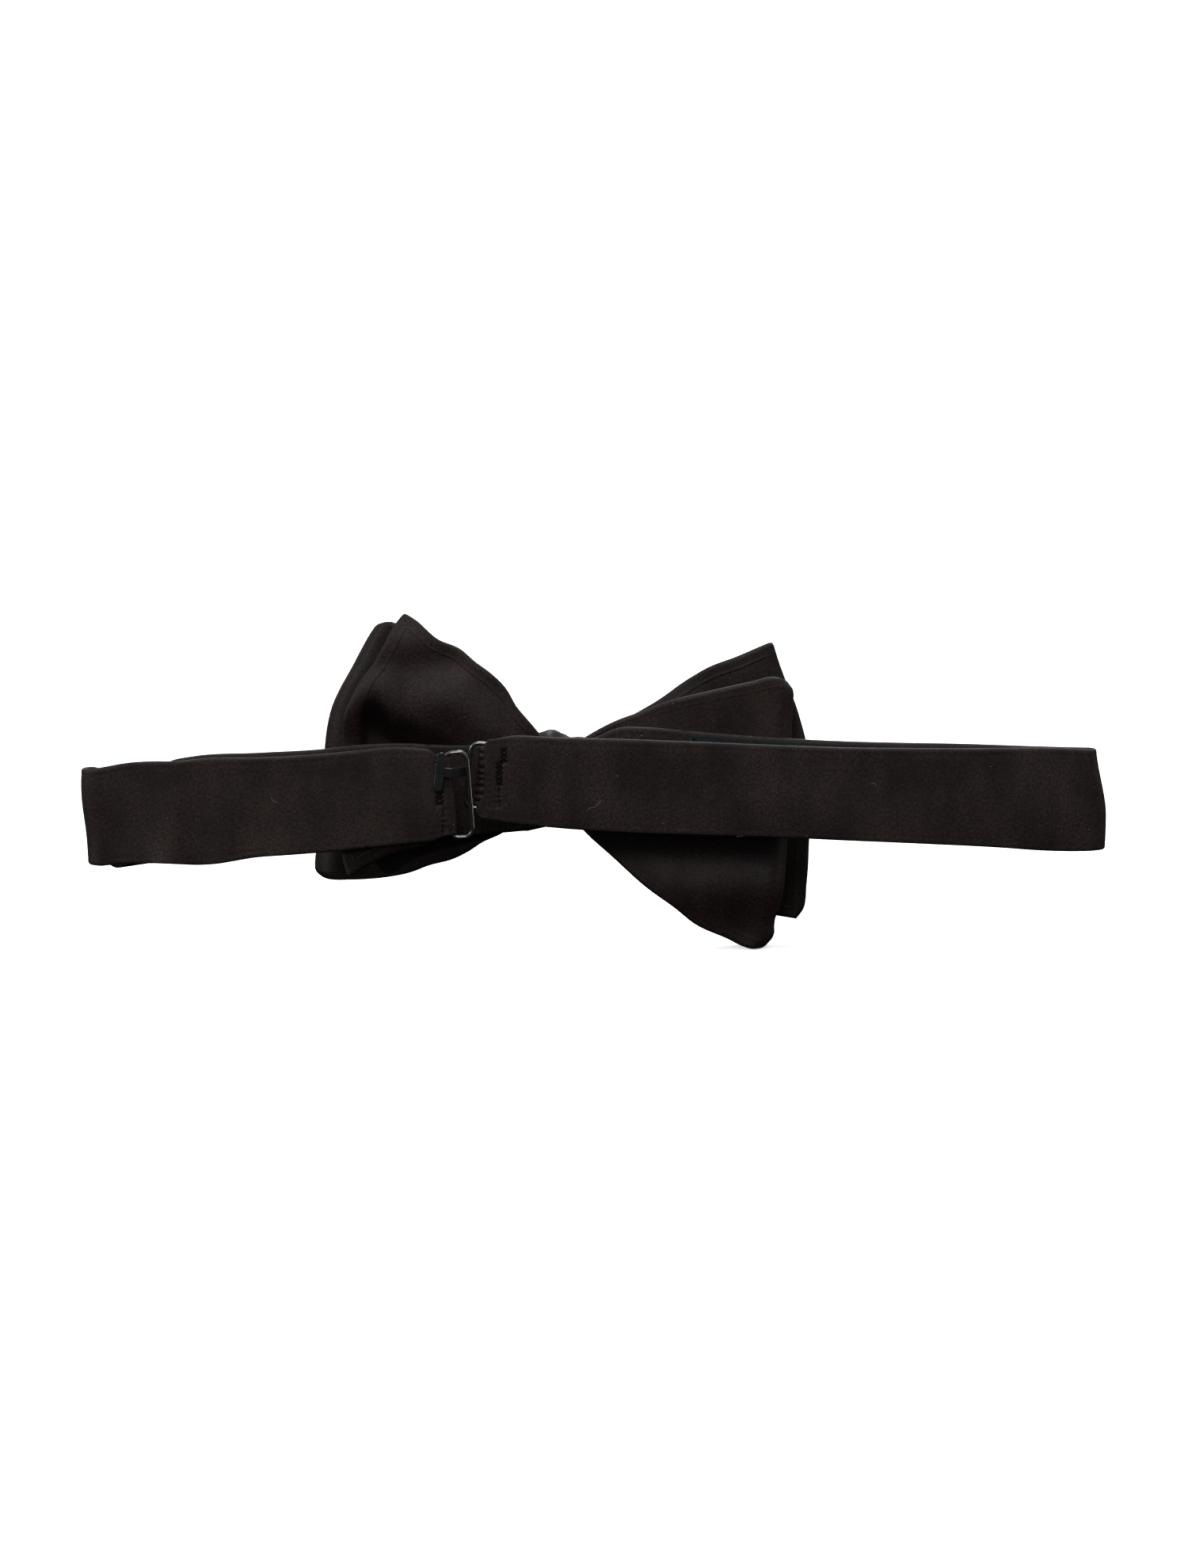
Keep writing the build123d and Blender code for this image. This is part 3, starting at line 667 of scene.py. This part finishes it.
class Run:
    """A straight run in plan; u runs along it and v is its normal on the neck side."""

    def __init__(self, start, lean, side):
        self.start = np.array(start, float)
        self.along = np.array([side * cos(radians(lean)), sin(radians(lean))])
        self.normal = np.array([-side * sin(radians(lean)), cos(radians(lean))])

    def at(self, u, v=0.0):
        """The plan point u along the run and v to its neck side."""
        u, v = np.asarray(u, float), np.asarray(v, float)
        return self.start + u[..., None] * self.along + v[..., None] * self.normal


def turned(centre, radius, start, end, count):
    """Points round an arc in plan, by angles in degrees."""
    a = np.radians(np.linspace(start, end, count))
    return np.stack([centre[0] + radius * np.cos(a), centre[1] + radius * np.sin(a)], -1)


def steps(low, high, gap=STEP):
    """Evenly spaced values from low to high, about gap apart."""
    return np.linspace(low, high, max(2, int(abs(high - low) / gap) + 1))


RIGHT_REAR_LEAN, RIGHT_FRONT_LEAN, RIGHT_FOLD_R = 2.9, 1.5, 1.9
LEFT_REAR_LEAN, LEFT_FRONT_LEAN, LEFT_FOLD_R = 3.4, 2.5, 2.9
right_rear = Run(joint_at["neck_loop_open"][:2], RIGHT_REAR_LEAN, -1)
left_rear = Run(joint_at["left_swing"][:2], LEFT_REAR_LEAN, 1)
right_fold, left_fold = joint_at["right_fold"][:2], joint_at["left_fold"][:2]
hook_bar, ring_bar = joint_at["hook_tilt"], joint_at["ring_tilt"]
right_front = Run(right_fold, RIGHT_FRONT_LEAN, 1)
right_front.start = right_front.at(0, RIGHT_FOLD_R)
left_front = Run(left_fold, LEFT_FRONT_LEAN, -1)
left_front.start = left_front.at(0, LEFT_FOLD_R)
RIGHT_REAR_LONG = float((right_fold - right_rear.start) @ right_rear.along)
LEFT_REAR_LONG = float((left_fold - left_rear.start) @ left_rear.along)
RIGHT_FRONT_LONG = float((hook_bar[:2] - right_front.start) @ right_front.along)
LEFT_FRONT_LONG = float((ring_bar[:2] - left_front.start) @ left_front.along)
BAR_DROP = 0.9          # a clasp bar lies this far behind the band's middle

# The bands' lower and upper edges as they hang, as X and Z
right_rear_low = profile([(-122, -13), (-100, -12.1), (-60, -10), (-29, -8.4), (-7, -7), (0, -6.8)])
right_rear_high = profile([(-122, 8.4), (-120, 8.4), (-90, 9), (-63, 9.4), (-55, 9.7), (-39, 10.7),
                           (-29, 11.5), (-20, 12.1), (-14.5, 12), (-12, 11.2), (-9.6, 10), (-6, 9.2),
                           (0, 9)])
right_front_low = profile([(-122.5, -12.7), (-120.8, -12.9), (-108.7, -13), (-99.8, -12.4), (-56, -10.1),
                           (0, -7.4), (8.8, -6.5), (13.5, -5.8), (17.5, -5)])
right_front_high = profile([(-122.5, 8.3), (-120, 8.5), (-90, 8.9), (-63, 9.2), (-44, 10), (-20, 11.1),
                            (0, 11.7), (8.8, 12.1), (13, 11.9), (17.5, 11.2)])
left_rear_low = profile([(0, -9.6), (7, -10.2), (50, -13), (84, -15), (93, -15.4), (105, -16)])
left_rear_high = profile([(0, 8.6), (7, 8.6), (21, 8.1), (36, 8.7), (43.6, 8.4), (50.6, 7.6), (64.8, 6.9),
                          (80, 6.2), (85, 5.2), (88, 3.4), (98, 3.1), (101, 3.9), (105, 4.2)])
left_front_low = profile([(20, -9.9), (24.5, -10.1), (52.5, -12.9), (64.8, -13.9), (78.8, -15.8),
                          (84.5, -15.4), (94, -15.7), (103, -16.2), (106, -16.2)])
left_front_high = profile([(20, 9.2), (24.7, 9.4), (31.2, 9.7), (36.2, 9.8), (43.6, 8.9), (64.8, 7.3),
                           (74.6, 7.1), (82.6, 6.5), (93.5, 5.9), (102, 4.4), (106, 4)])


CROWN = 0.12            # how much fuller a band is along its middle


def band_rows(width, count):
    """Shares across a band, finer beside its two edges."""
    edge = BAND_EDGE_ROWS / width
    return np.concatenate([edge, np.linspace(edge[-1], 1 - edge[-1], count)[1:-1], 1 - edge[::-1]])


def band(name, plan, low, high, half, material, seed, rough=0.22, ends=None, extra=None, count=40):
    """A run of band over points in plan, between two edges' heights."""
    plan = np.asarray(plan, float)
    run = np.concatenate([[0], np.cumsum(np.linalg.norm(np.diff(plan, axis=0), axis=1))])
    width = high - low
    t = np.stack([band_rows(w, count) for w in width])
    z = low[:, None] + width[:, None] * t
    run2 = np.repeat(run[:, None], t.shape[1], 1)
    tangent = unit(np.gradient(plan, axis=0))
    normal = np.stack([-tangent[:, 1], tangent[:, 0]], -1)
    off = rough * waves(run2, z, seed)
    if extra is not None:
        off = off + extra(plan[:, None, 0] + 0 * z, z)
    xy = plan[:, None, :] + normal[:, None, :] * off[..., None]
    grid = np.concatenate([xy, z[..., None]], -1)
    if ends is not None:
        grid = ends(grid, run2, t)
    distance = np.minimum(t, 1 - t) * width[:, None]
    relief = -0.04 * bump(distance, 0.9, 0.2) + CROWN * (1 - (2 * t - 1) ** 4) - CROWN
    half = np.broadcast_to(np.asarray(half, float), (len(plan),))[:, None] + 0 * z
    return cloth(name, grid, half, material, np.stack([run2, z], -1), seam=0.95, relief=relief)


CLASP_STEP = 0.35       # the mesh step where a band nears its clasp
CLASP_THIN = 0.28       # how much its half thickness shrinks there


def inner_band(side, run, long, low, high, material, seed):
    """A side's first run beside the knot, from just before the joint where the run starts."""
    plan = run.at(steps(-2.6, long))
    x, hinge = plan[:, 0], run.start[0]
    piece = band(f"{side}_rear_band_inner", plan, low(x), high(x), BAND_HALF, material, seed, 0.12)
    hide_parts(f"{side}_rear_interlining")
    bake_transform(piece)
    return piece


def right_band():
    """The right side's long run, round its fold to the clasp."""
    long = RIGHT_FRONT_LONG
    rear = right_rear.at(steps(21.6, RIGHT_REAR_LONG))
    arc = turned(right_fold, RIGHT_FOLD_R, 270 - RIGHT_REAR_LEAN, 90 + RIGHT_FRONT_LEAN, 15)
    fine = steps(long - 8, long + 1.2, CLASP_STEP)
    u = np.concatenate([steps(0, long - 8), fine[1:]])
    thinned = CLASP_THIN * ramp(u, long - 6, long - 1)
    front = right_front.at(u, thinned)
    plan = np.vstack([rear, arc[1:-1], front])
    share = np.zeros(len(plan))
    share[len(rear):len(rear) + 13] = np.linspace(0, 1, 15)[1:-1]
    share[len(rear) + 13:] = 1
    x = plan[:, 0]
    low = between(right_rear_low(x), right_front_low(x), share)
    high = between(right_rear_high(x), right_front_high(x), share)
    along = np.concatenate([np.zeros(len(rear) + 13), u])
    in_front = (along > 0)[:, None]
    half = BAND_HALF - CLASP_THIN * ramp(along, long - 6, long - 1)

    def clasp_end(grid, run, t):
        """The end's edge curves in at the frame and out at its two corners, and the fold leans."""
        grid = grid.copy()
        grid[..., 0] += 2.0 * bump(grid[..., 0], right_fold[0] - 2, 9) * ramp(t, 0.3, 1.05)
        near = ramp(grid[..., 0], hook_bar[0] - 5, hook_bar[0] + 1.2) * (grid[..., 1] > right_fold[1])
        out = 2.1 * bump(t, 0.06, 0.16) + 0.3 * bump(t, 0.98, 0.1)
        corners = 0.9 * bump(t, 0.0, 0.035) + 0.9 * bump(t, 1.0, 0.035)
        grid[..., 0] += near * (out - corners - 0.2)
        return grid

    def sewn(px, pz):
        """Dents come towards the band's middle, away from the neck side."""
        return np.where(in_front, pucker(px, pz, HOOK_TACK, HOOK_ROW), 0)

    piece = band("right_band", plan, low, high, half, SATIN_BAND, 51, 0.2, ends=clasp_end, extra=sewn)
    return fold_band(piece, "right")


def fold_band(piece, side):
    """Puts a band in place of its plain CAD runs, and bakes its transform into the mesh."""
    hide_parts(f"{side}_rear_band", f"{side}_front_band", f"{side}_front_interlining")
    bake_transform(piece)
    return piece


def left_fold_crease(x, z):
    """The soft upright fold and small dents in the left front band."""
    crease = 1.0 * bump(x + 0.06 * (z + 5), 84.0, 3.2) - 0.5 * bump(x, 77.5, 3.2)
    return -crease - 0.3 * bump(x, 60, 4) + 0.3 * bump(x, 47, 5) + 0.5 * ramp(x, 88, 99)


RING_WRAP_R = 1.17      # the turn of the band's end round the ring's bar
RING_WRAP_TALL = 8.35   # half the width of the band there
TURNED_HALF = 0.36      # half the turned end's thickness


def left_band():
    """The left side's long run, round its fold and turned round the ring's bar at its end."""
    long = LEFT_FRONT_LONG
    rear = left_rear.at(steps(20.6, LEFT_REAR_LONG))
    arc = turned(left_fold, LEFT_FOLD_R, -90 + LEFT_REAR_LEAN, 90 - LEFT_FRONT_LEAN, 17)
    fine = steps(long - 6, long, CLASP_STEP)
    u = np.concatenate([steps(0, long - 6), fine[1:]])
    lift = (RING_WRAP_R - BAR_DROP) * ramp(u, long - 8, long - 1)
    front = left_front.at(u, lift)
    nose = turned(ring_bar[:2], RING_WRAP_R, 90 - LEFT_FRONT_LEAN, 270 - LEFT_FRONT_LEAN, 11)
    back_u = steps(long - 0.4, long - 11, 0.8)
    back_v = -BAR_DROP - RING_WRAP_R + (RING_WRAP_R - CLASP_THIN) * ramp(long - back_u, 0.5, 7)
    back = left_front.at(back_u, back_v)
    plan = np.vstack([rear, arc[1:-1], front, nose[1:], back])
    x = plan[:, 0]
    share = np.concatenate([np.zeros(len(rear)), np.linspace(0, 1, 17)[1:-1],
                            np.ones(len(front) + len(nose) - 1 + len(back))])
    low = between(left_rear_low(x), left_front_low(x), share)
    high = between(left_rear_high(x), left_front_high(x), share)
    along = np.concatenate([np.zeros(len(rear) + 15), u, long + np.arange(1, len(nose)) * 0.3,
                            long + 3 + 0 * back_u])
    tight = ramp(along, long - 4.0, long - 0.2)
    low = between(low, ring_bar[2] - RING_WRAP_TALL, tight)
    high = between(high, ring_bar[2] + RING_WRAP_TALL, tight)
    half = BAND_HALF - CLASP_THIN * ramp(along, long - 8, long - 1)
    half = np.where(along > long + 2.9, TURNED_HALF, half)

    def lean_end(grid, run, t):
        """The turned end leans with the ring, and the fold leans the other way."""
        grid = grid.copy()
        grid[..., 0] -= 1.4 * bump(grid[..., 0], left_fold[0] + 2, 9) * ramp(1 - t, 0.1, 1.0)
        near = ramp(-grid[..., 0], -ring_bar[0] - 7, -ring_bar[0] - 0.5) * (grid[..., 1] > left_fold[1])
        grid[..., 0] += near * (grid[..., 2] - ring_bar[2]) * tan(radians(4.5))
        return grid

    in_front = ((along > 0) & (along <= long))[:, None]

    def creased(px, pz):
        """The front run's soft creases and the dents of its stitches; its normal points to the bow."""
        return np.where(in_front, left_fold_crease(px, pz) - pucker(px, pz, RING_TACK, RING_ROW), 0)

    piece = band("left_band", plan, low, high, half, SATIN_BAND, 61, 0.16, ends=lean_end, extra=creased)
    return fold_band(piece, "left")


def hook_gather():
    """The right band's end drawn together inside the T-hook's frame, ribbed where it is gathered."""
    long = RIGHT_FRONT_LONG
    loose = [(long - 0.2, -0.55), (long + 1.6, -0.62), (long + 2.6, -1.15), (long + 2.75, -1.9),
             (long + 1.6, -2.45), (long + 0.2, -2.35), (long - 3.0, -1.75), (long - 9.0, -1.2)]
    line = at_share(smooth(loose), np.linspace(0, 1, 34))
    plan = right_front.at(line[:, 0], line[:, 1])
    t = np.linspace(0, 1, 49)
    spread = ramp(long - line[:, 0], 1, 8)
    low = hook_bar[2] - 6.3 - 1.6 * spread
    high = hook_bar[2] + 6.3 + 1.6 * spread
    z = low[:, None] + (high - low)[:, None] * t
    tangent = unit(np.gradient(plan, axis=0))
    normal = np.stack([-tangent[:, 1], tangent[:, 0]], -1)
    rib = 0.17 * np.sin(2 * pi * t * 8.5 + 0.8 * np.sin(2 * pi * t * 2))
    rib = rib[None, :] * (1 - 0.8 * spread)[:, None]
    xy = plan[:, None, :] + normal[:, None, :] * rib[..., None]
    grid = np.concatenate([xy, z[..., None]], -1)
    grid[..., 0] -= (grid[..., 2] - hook_bar[2]) * tan(radians(6.0))
    uv = np.stack([np.repeat(line[:, :1], len(t), 1), z], -1)
    return place_piece(cloth("right_turned_end", grid, 0.3, SATIN_BAND, uv), "right_front_strap", "satin")


def tape():
    """The size tape on the neck side of the right rear band."""
    u = steps(22.5, RIGHT_REAR_LONG - 1.5)
    plan = right_rear.at(u, BAND_HALF + 0.24)
    low, high = right_rear_low(plan[:, 0]) + 0.35, right_rear_high(plan[:, 0]) - 0.15
    piece = band("size_tape_cloth", plan, low, high, 0.2, TAPE, 51, 0.05)
    return place_piece(piece, "right_rear_strap", "tape", "size_tape")


def tab():
    """The sewn loop that holds the slider's middle bar: its CAD solid with softened edges."""
    piece = new_object("slider_tab_cloth", frame["nodes"]["slider_tab"].data.copy())
    remesh = piece.modifiers.new("even", "REMESH")
    remesh.mode, remesh.voxel_size = "VOXEL", 0.2 * MM
    soft = piece.modifiers.new("soft", "SMOOTH")
    soft.iterations = 4
    bpy.context.view_layer.update()
    graph = bpy.context.evaluated_depsgraph_get()
    made = bpy.data.meshes.new_from_object(piece.evaluated_get(graph))
    piece.modifiers.clear()
    piece.data = made
    made.materials.clear()
    made.materials.append(SATIN_BAND)
    co = np.array([v.co for v in made.vertices])
    layer = made.uv_layers.new(name="cloth")
    corner = np.empty(len(made.loops), int)
    made.loops.foreach_get("vertex_index", corner)
    layer.data.foreach_set("uv", (co[corner][:, [0, 2]] / MM).astype(np.float32).ravel())
    made.shade_smooth()
    return place_piece(piece, "adjuster", "satin", "slider_tab")


# ---- sewing thread

HOOK_TACK = [(11.1, 10.0, 6.6), (12.1, 6.6, 1.8)]      # X, from and to Z of each zigzag's middle
HOOK_ROW = (12.1, 1.4, -3.2)
RING_TACK = [(25.3, 9.0, -3.0)]
RING_ROW = (24.6, -3.5, -8.6)
THREAD_HALF = 0.16      # half a sewing thread's thickness
THREAD_SIDES, THREAD_RINGS = 8, 7
HAIR_HALF = 0.035       # half a lint fibre's thickness
HAIR_SIDES = 5
RAY_FROM = 0.05         # metres; lines towards the front bands start here
NECK_FACE = 0.0125      # metres; about where the front bands' neck faces are


def zigzag_line(tacks, wide, pitch):
    """The legs of a zigzag seam sewn down and back again, in X and Z."""
    legs = []
    for side in (-wide / 2, wide / 2):
        points = []
        for x, top, bottom in tacks:
            for k, z in enumerate(np.arange(top, bottom, -pitch)):
                points.append((x + (side if k % 2 else -side), z))
        legs += list(zip(points, points[1:]))
    return legs


def stitch_line(row, pitch, share=0.66):
    """A straight row of short stitches, in X and Z."""
    x, top, bottom = row
    return [((x, z), (x + 0.06, z - pitch * share)) for z in np.arange(top, bottom, -pitch)]


def on_surface(tree, x, z):
    """Where a line from the neck side meets a piece, and the surface's direction there."""
    place, normal, _, _ = tree.ray_cast(Vector((x * MM, RAY_FROM, z * MM)), Vector((0, -1, 0)))
    if place is None:
        place, normal, _, _ = tree.find_nearest(Vector((x * MM, NECK_FACE, z * MM)))
    return np.array(place) / MM, np.array(normal)


def tube_faces(first, rings, sides):
    """The faces of a closed tube whose rings of vertices start at first."""
    last = first + (rings - 1) * sides
    faces = [(k + m, k + (m + 1) % sides, k + sides + (m + 1) % sides, k + sides + m)
             for k in range(first, last, sides) for m in range(sides)]
    return faces + [tuple(range(first, first + sides)), tuple(range(last, last + sides))]


def fibres(name, body, material, verts, faces, *solids):
    """Threads or lint as one piece."""
    mesh = bpy.data.meshes.new(name)
    mesh.from_pydata([tuple(v) for v in verts], [], faces)
    place_piece(shown(mesh, material), body, "thread", *solids)


def thread(name, body, piece, legs, replaced):
    """Sewing thread lying on a piece: one rounded stitch for each leg."""
    tree = BVHTree.FromObject(piece, bpy.context.evaluated_depsgraph_get())
    verts, faces = [], []
    for (x0, z0), (x1, z1) in legs:
        faces += tube_faces(len(verts), THREAD_RINGS, THREAD_SIDES)
        for k in range(THREAD_RINGS):
            share = k / (THREAD_RINGS - 1)
            place, normal = on_surface(tree, x0 + (x1 - x0) * share, z0 + (z1 - z0) * share)
            lift = THREAD_HALF * (0.75 * sin(pi * share) - 0.1)
            along = unit(np.array([x1 - x0, 0, z1 - z0]))
            side = unit(np.cross(along, normal))
            fat = THREAD_HALF * max(sin(pi * share), 0.25) ** 0.4
            for m in range(THREAD_SIDES):
                a = 2 * pi * m / THREAD_SIDES
                verts.append((place + normal * (lift + fat * cos(a)) + side * fat * sin(a)) * MM)
    fibres(name, body, THREAD, verts, faces, replaced)


def pucker(x, z, tacks, row):
    """The dents that tight stitches pull into the band."""
    dent = 0 * x
    for middle, top, bottom in tacks + [row]:
        inside = ramp(z, bottom - 0.5, bottom) * (1 - ramp(z, top, top + 0.5))
        dent = dent + bump(x, middle, 0.75) * inside * (0.7 + 0.3 * np.sin(2 * pi * z / 1.3))
    return -0.38 * dent


right_piece = right_band()
left_piece = left_band()
thread("hook_end_thread", "right_front_strap", right_piece,
       zigzag_line(HOOK_TACK, 1.6, 0.95) + stitch_line(HOOK_ROW, 0.95), "hook_end_stitches")
thread("ring_end_thread", "left_front_strap", left_piece,
       zigzag_line(RING_TACK, 1.9, 0.95) + stitch_line(RING_ROW, 1.0), "ring_end_stitches")


def hair(name, body, piece, line):
    """A fine curled fibre lying on a piece, through points in X and Z."""
    tree = BVHTree.FromObject(piece, bpy.context.evaluated_depsgraph_get())
    path = smooth(line, 6)
    verts = []
    for k, (x, z) in enumerate(path):
        place, normal = on_surface(tree, x, z)
        ahead = path[min(k + 1, len(path) - 1)] - path[max(k - 1, 0)]
        along = unit(np.array([ahead[0], 0, ahead[1]]))
        side = unit(np.cross(along, normal))
        for a in np.linspace(0, 2 * pi, HAIR_SIDES, endpoint=False):
            verts.append((place + normal * HAIR_HALF * (1 + cos(a)) + side * HAIR_HALF * sin(a)) * MM)
    fibres(name, body, LINT, verts, tube_faces(0, len(path), HAIR_SIDES))


hair("lint_1", "right_front_strap", right_piece, [(-10.2, -1.8), (-9, -3.2), (-7.6, -3.6), (-7.2, -4.1)])
hair("lint_2", "right_front_strap", right_piece, [(-41.5, -10.6), (-41, -11.6), (-40.2, -12.1)])
hair("lint_3", "right_front_strap", right_piece, [(-71, 1), (-70.6, 1.7), (-69.9, 1.9)])
hair("lint_4", "left_front_strap", left_piece, [(61, -2), (61.9, -1.7), (62.3, -1)])

right_inner = inner_band("right", right_rear, 21.6, right_rear_low, right_rear_high, SATIN_BAND, 50)
# The left inner band wears the darker satin copy: painted shade for the gap behind the front band
left_inner = inner_band("left", left_rear, 20.6, left_rear_low, left_rear_high, SATIN_PAINTED_SHADE, 60)
held_pieces = [
    # piece, flat width and length in mm, the cut's share of that rectangle, how it is held, and on what
    (right_piece, 21.5, 232, None, "folded", ["right_rear_band_inner", "t_hook"]),
    (right_inner, 19.3, 24.2, None, "stretched", ["knot_wrap_cloth"]),
    (left_piece, 20.5, 187, None, "folded", ["left_rear_band_inner", "ring"]),
    (left_inner, 18.6, 23.2, None, "stretched", ["knot_wrap_cloth"]),
    (hook_gather(), 12.6, 15, None, "gathered", ["t_hook"]),
    (tape(), 20, 88, None, "laid", ["right_band"]),
    (tab(), 18, 22, None, "folded", ["slider"]),
    (collar_strap(), 18, 13.2, None, "stretched", ["knot_wrap_cloth"]),
    (knot(), 13, 58, None, "folded", ["collar_strap_cloth"]),
    (rear_end(), 59, 50, 0.7, "gathered", ["knot_wrap_cloth"]),
    (front_end(), 62, 60, 0.6, "gathered", ["knot_wrap_cloth"]),
    (rear_loop(), 60, 112, 0.7, "folded", ["knot_wrap_cloth"]),
    (front_loop(), 58, 112, 0.7, "folded", ["knot_wrap_cloth"]),
]


# ---- metal and thread from the CAD

for name, material in (("ring", ENAMEL), ("t_hook", ENAMEL), ("slider", ENAMEL),
                       ("tape_stitches", THREAD), ("slider_tab_stitches", THREAD)):
    surfaces = frame["nodes"][name].data.materials
    surfaces.clear()
    surfaces.append(material)


# ---- floor, light and camera


def plain(name, colour, rough, glow):
    """An even finish, lifted towards white by a little light of its own."""
    material, tree, shader = nodes_of(name)
    set_inputs(shader, Emission_Color=(1.0, 1.0, 1.0, 1.0), Emission_Strength=glow,
               Base_Color=(*colour, 1.0), Roughness=rough)
    return material


floor_mesh = bpy.data.meshes.new("floor")
FLOOR_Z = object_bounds()[0][2] - 0.0002
REACH = 8.0             # metres from the middle to the floor's edge
square = [(-REACH, -REACH), (REACH, -REACH), (REACH, REACH), (-REACH, REACH)]
floor_mesh.from_pydata([(x, y, FLOOR_Z) for x, y in square], [], [(0, 1, 2, 3)])
floor_mesh.materials.append(plain("pale_floor", (0.90, 0.90, 0.90), 0.9, 0.60))
floor = new_object("floor", floor_mesh)
SIDES = 32              # the backdrop's flat sides
WALL_R, WALL_HIGH = 0.98 * REACH, 4.0
turns = [2 * pi * k / SIDES for k in range(SIDES)]
corners = [(WALL_R * cos(a), WALL_R * sin(a)) for a in turns]
wall_mesh = bpy.data.meshes.new("backdrop")
wall_mesh.from_pydata([(x, y, FLOOR_Z) for x, y in corners] + [(x, y, WALL_HIGH) for x, y in corners], [],
                      [(k, (k + 1) % SIDES, SIDES + (k + 1) % SIDES, SIDES + k) for k in range(SIDES)])
wall_mesh.materials.append(plain("white_backdrop", (0.0, 0.0, 0.0), 1.0, 1.0))
wall = new_object("backdrop", wall_mesh)
for staged in (floor, wall):
    staged.visible_diffuse = False      # the light comes from above, as on a dark studio table
    staged.visible_glossy = False
wall.visible_shadow = False

world = bpy.data.worlds.new("studio")
bpy.context.scene.world = world
world.use_nodes = True
sky = world.node_tree
height = add_node(sky, "SeparateXYZ", Vector=add_node(sky, "TexCoord").outputs["Generated"])
shade = colour_ramp(height.outputs["Z"], [(0.0, (0.0,) * 3), (0.02, (0.33,) * 3), (0.45, (0.58,) * 3),
                                          (1.0, (1.0,) * 3)])
set_inputs(sky.nodes["Background"], Color=shade, Strength=0.9)


def lamp(name, kind, place, aim, watts):
    """A lamp turned to its aim; returns its data."""
    data = bpy.data.lights.new(name, kind)
    data.energy = watts
    made = new_object(name, data)
    made.location = place
    made.rotation_euler = (Vector(aim) - Vector(place)).to_track_quat("-Z", "Y").to_euler()
    return data


AREA_LIGHTS = [
    # name, place, aim, size across, watts
    ("key", (-0.15, 0.60, 1.28), (0, 0, 0), 0.6, 9.0),
    ("low_key", (0.15, 1.22, 0.66), (0, 0, 0), 0.35, 4.3),
    ("side", (1.20, 0.50, 0.55), (0, 0, 0), 0.5, 6.2),
    ("front_key", (-0.2, -0.95, 1.0), (0, 0, 0), 0.6, 10.0),
    ("wire_left", (1.25, 0.12, 0.0), (0, 0.015, 0), 0.3, 1.3),      # for the wires' highlights
    ("wire_right", (-1.25, 0.12, 0.0), (0, 0.015, 0), 0.3, 1.3),
]
for name, place, aim, size, watts in AREA_LIGHTS:
    disk = lamp(name, "AREA", place, aim, watts)
    disk.shape, disk.size = "DISK", size
# A narrow beam that reaches under the left band to the blades' low corner
spot = lamp("corner_spot", "SPOT", (1.15, 0.60, -0.012), (0.045, 0, -0.024), 26.0)
spot.spot_size, spot.spot_blend, spot.shadow_soft_size = radians(1.9), 0.7, 0.012

camera_data = bpy.data.cameras.new("camera")
camera_data.sensor_fit, camera_data.sensor_width, camera_data.lens = "HORIZONTAL", 36.0, 250.0
camera_data.clip_end = 200.0
camera = new_object("camera", camera_data)
bpy.context.scene.camera = camera
VIEW_WIDE = 0.2625      # metres across the view at the neckband
AIM = Vector((-0.00875, 0.006, 0.0009))
ELEVATION = radians(9)
distance = VIEW_WIDE * camera_data.lens / camera_data.sensor_width
camera.location = AIM + distance * Vector((0, cos(ELEVATION), sin(ELEVATION)))
camera.rotation_euler = (AIM - camera.location).to_track_quat("-Z", "Y").to_euler()

bpy.context.scene.view_settings.view_transform = "Standard"
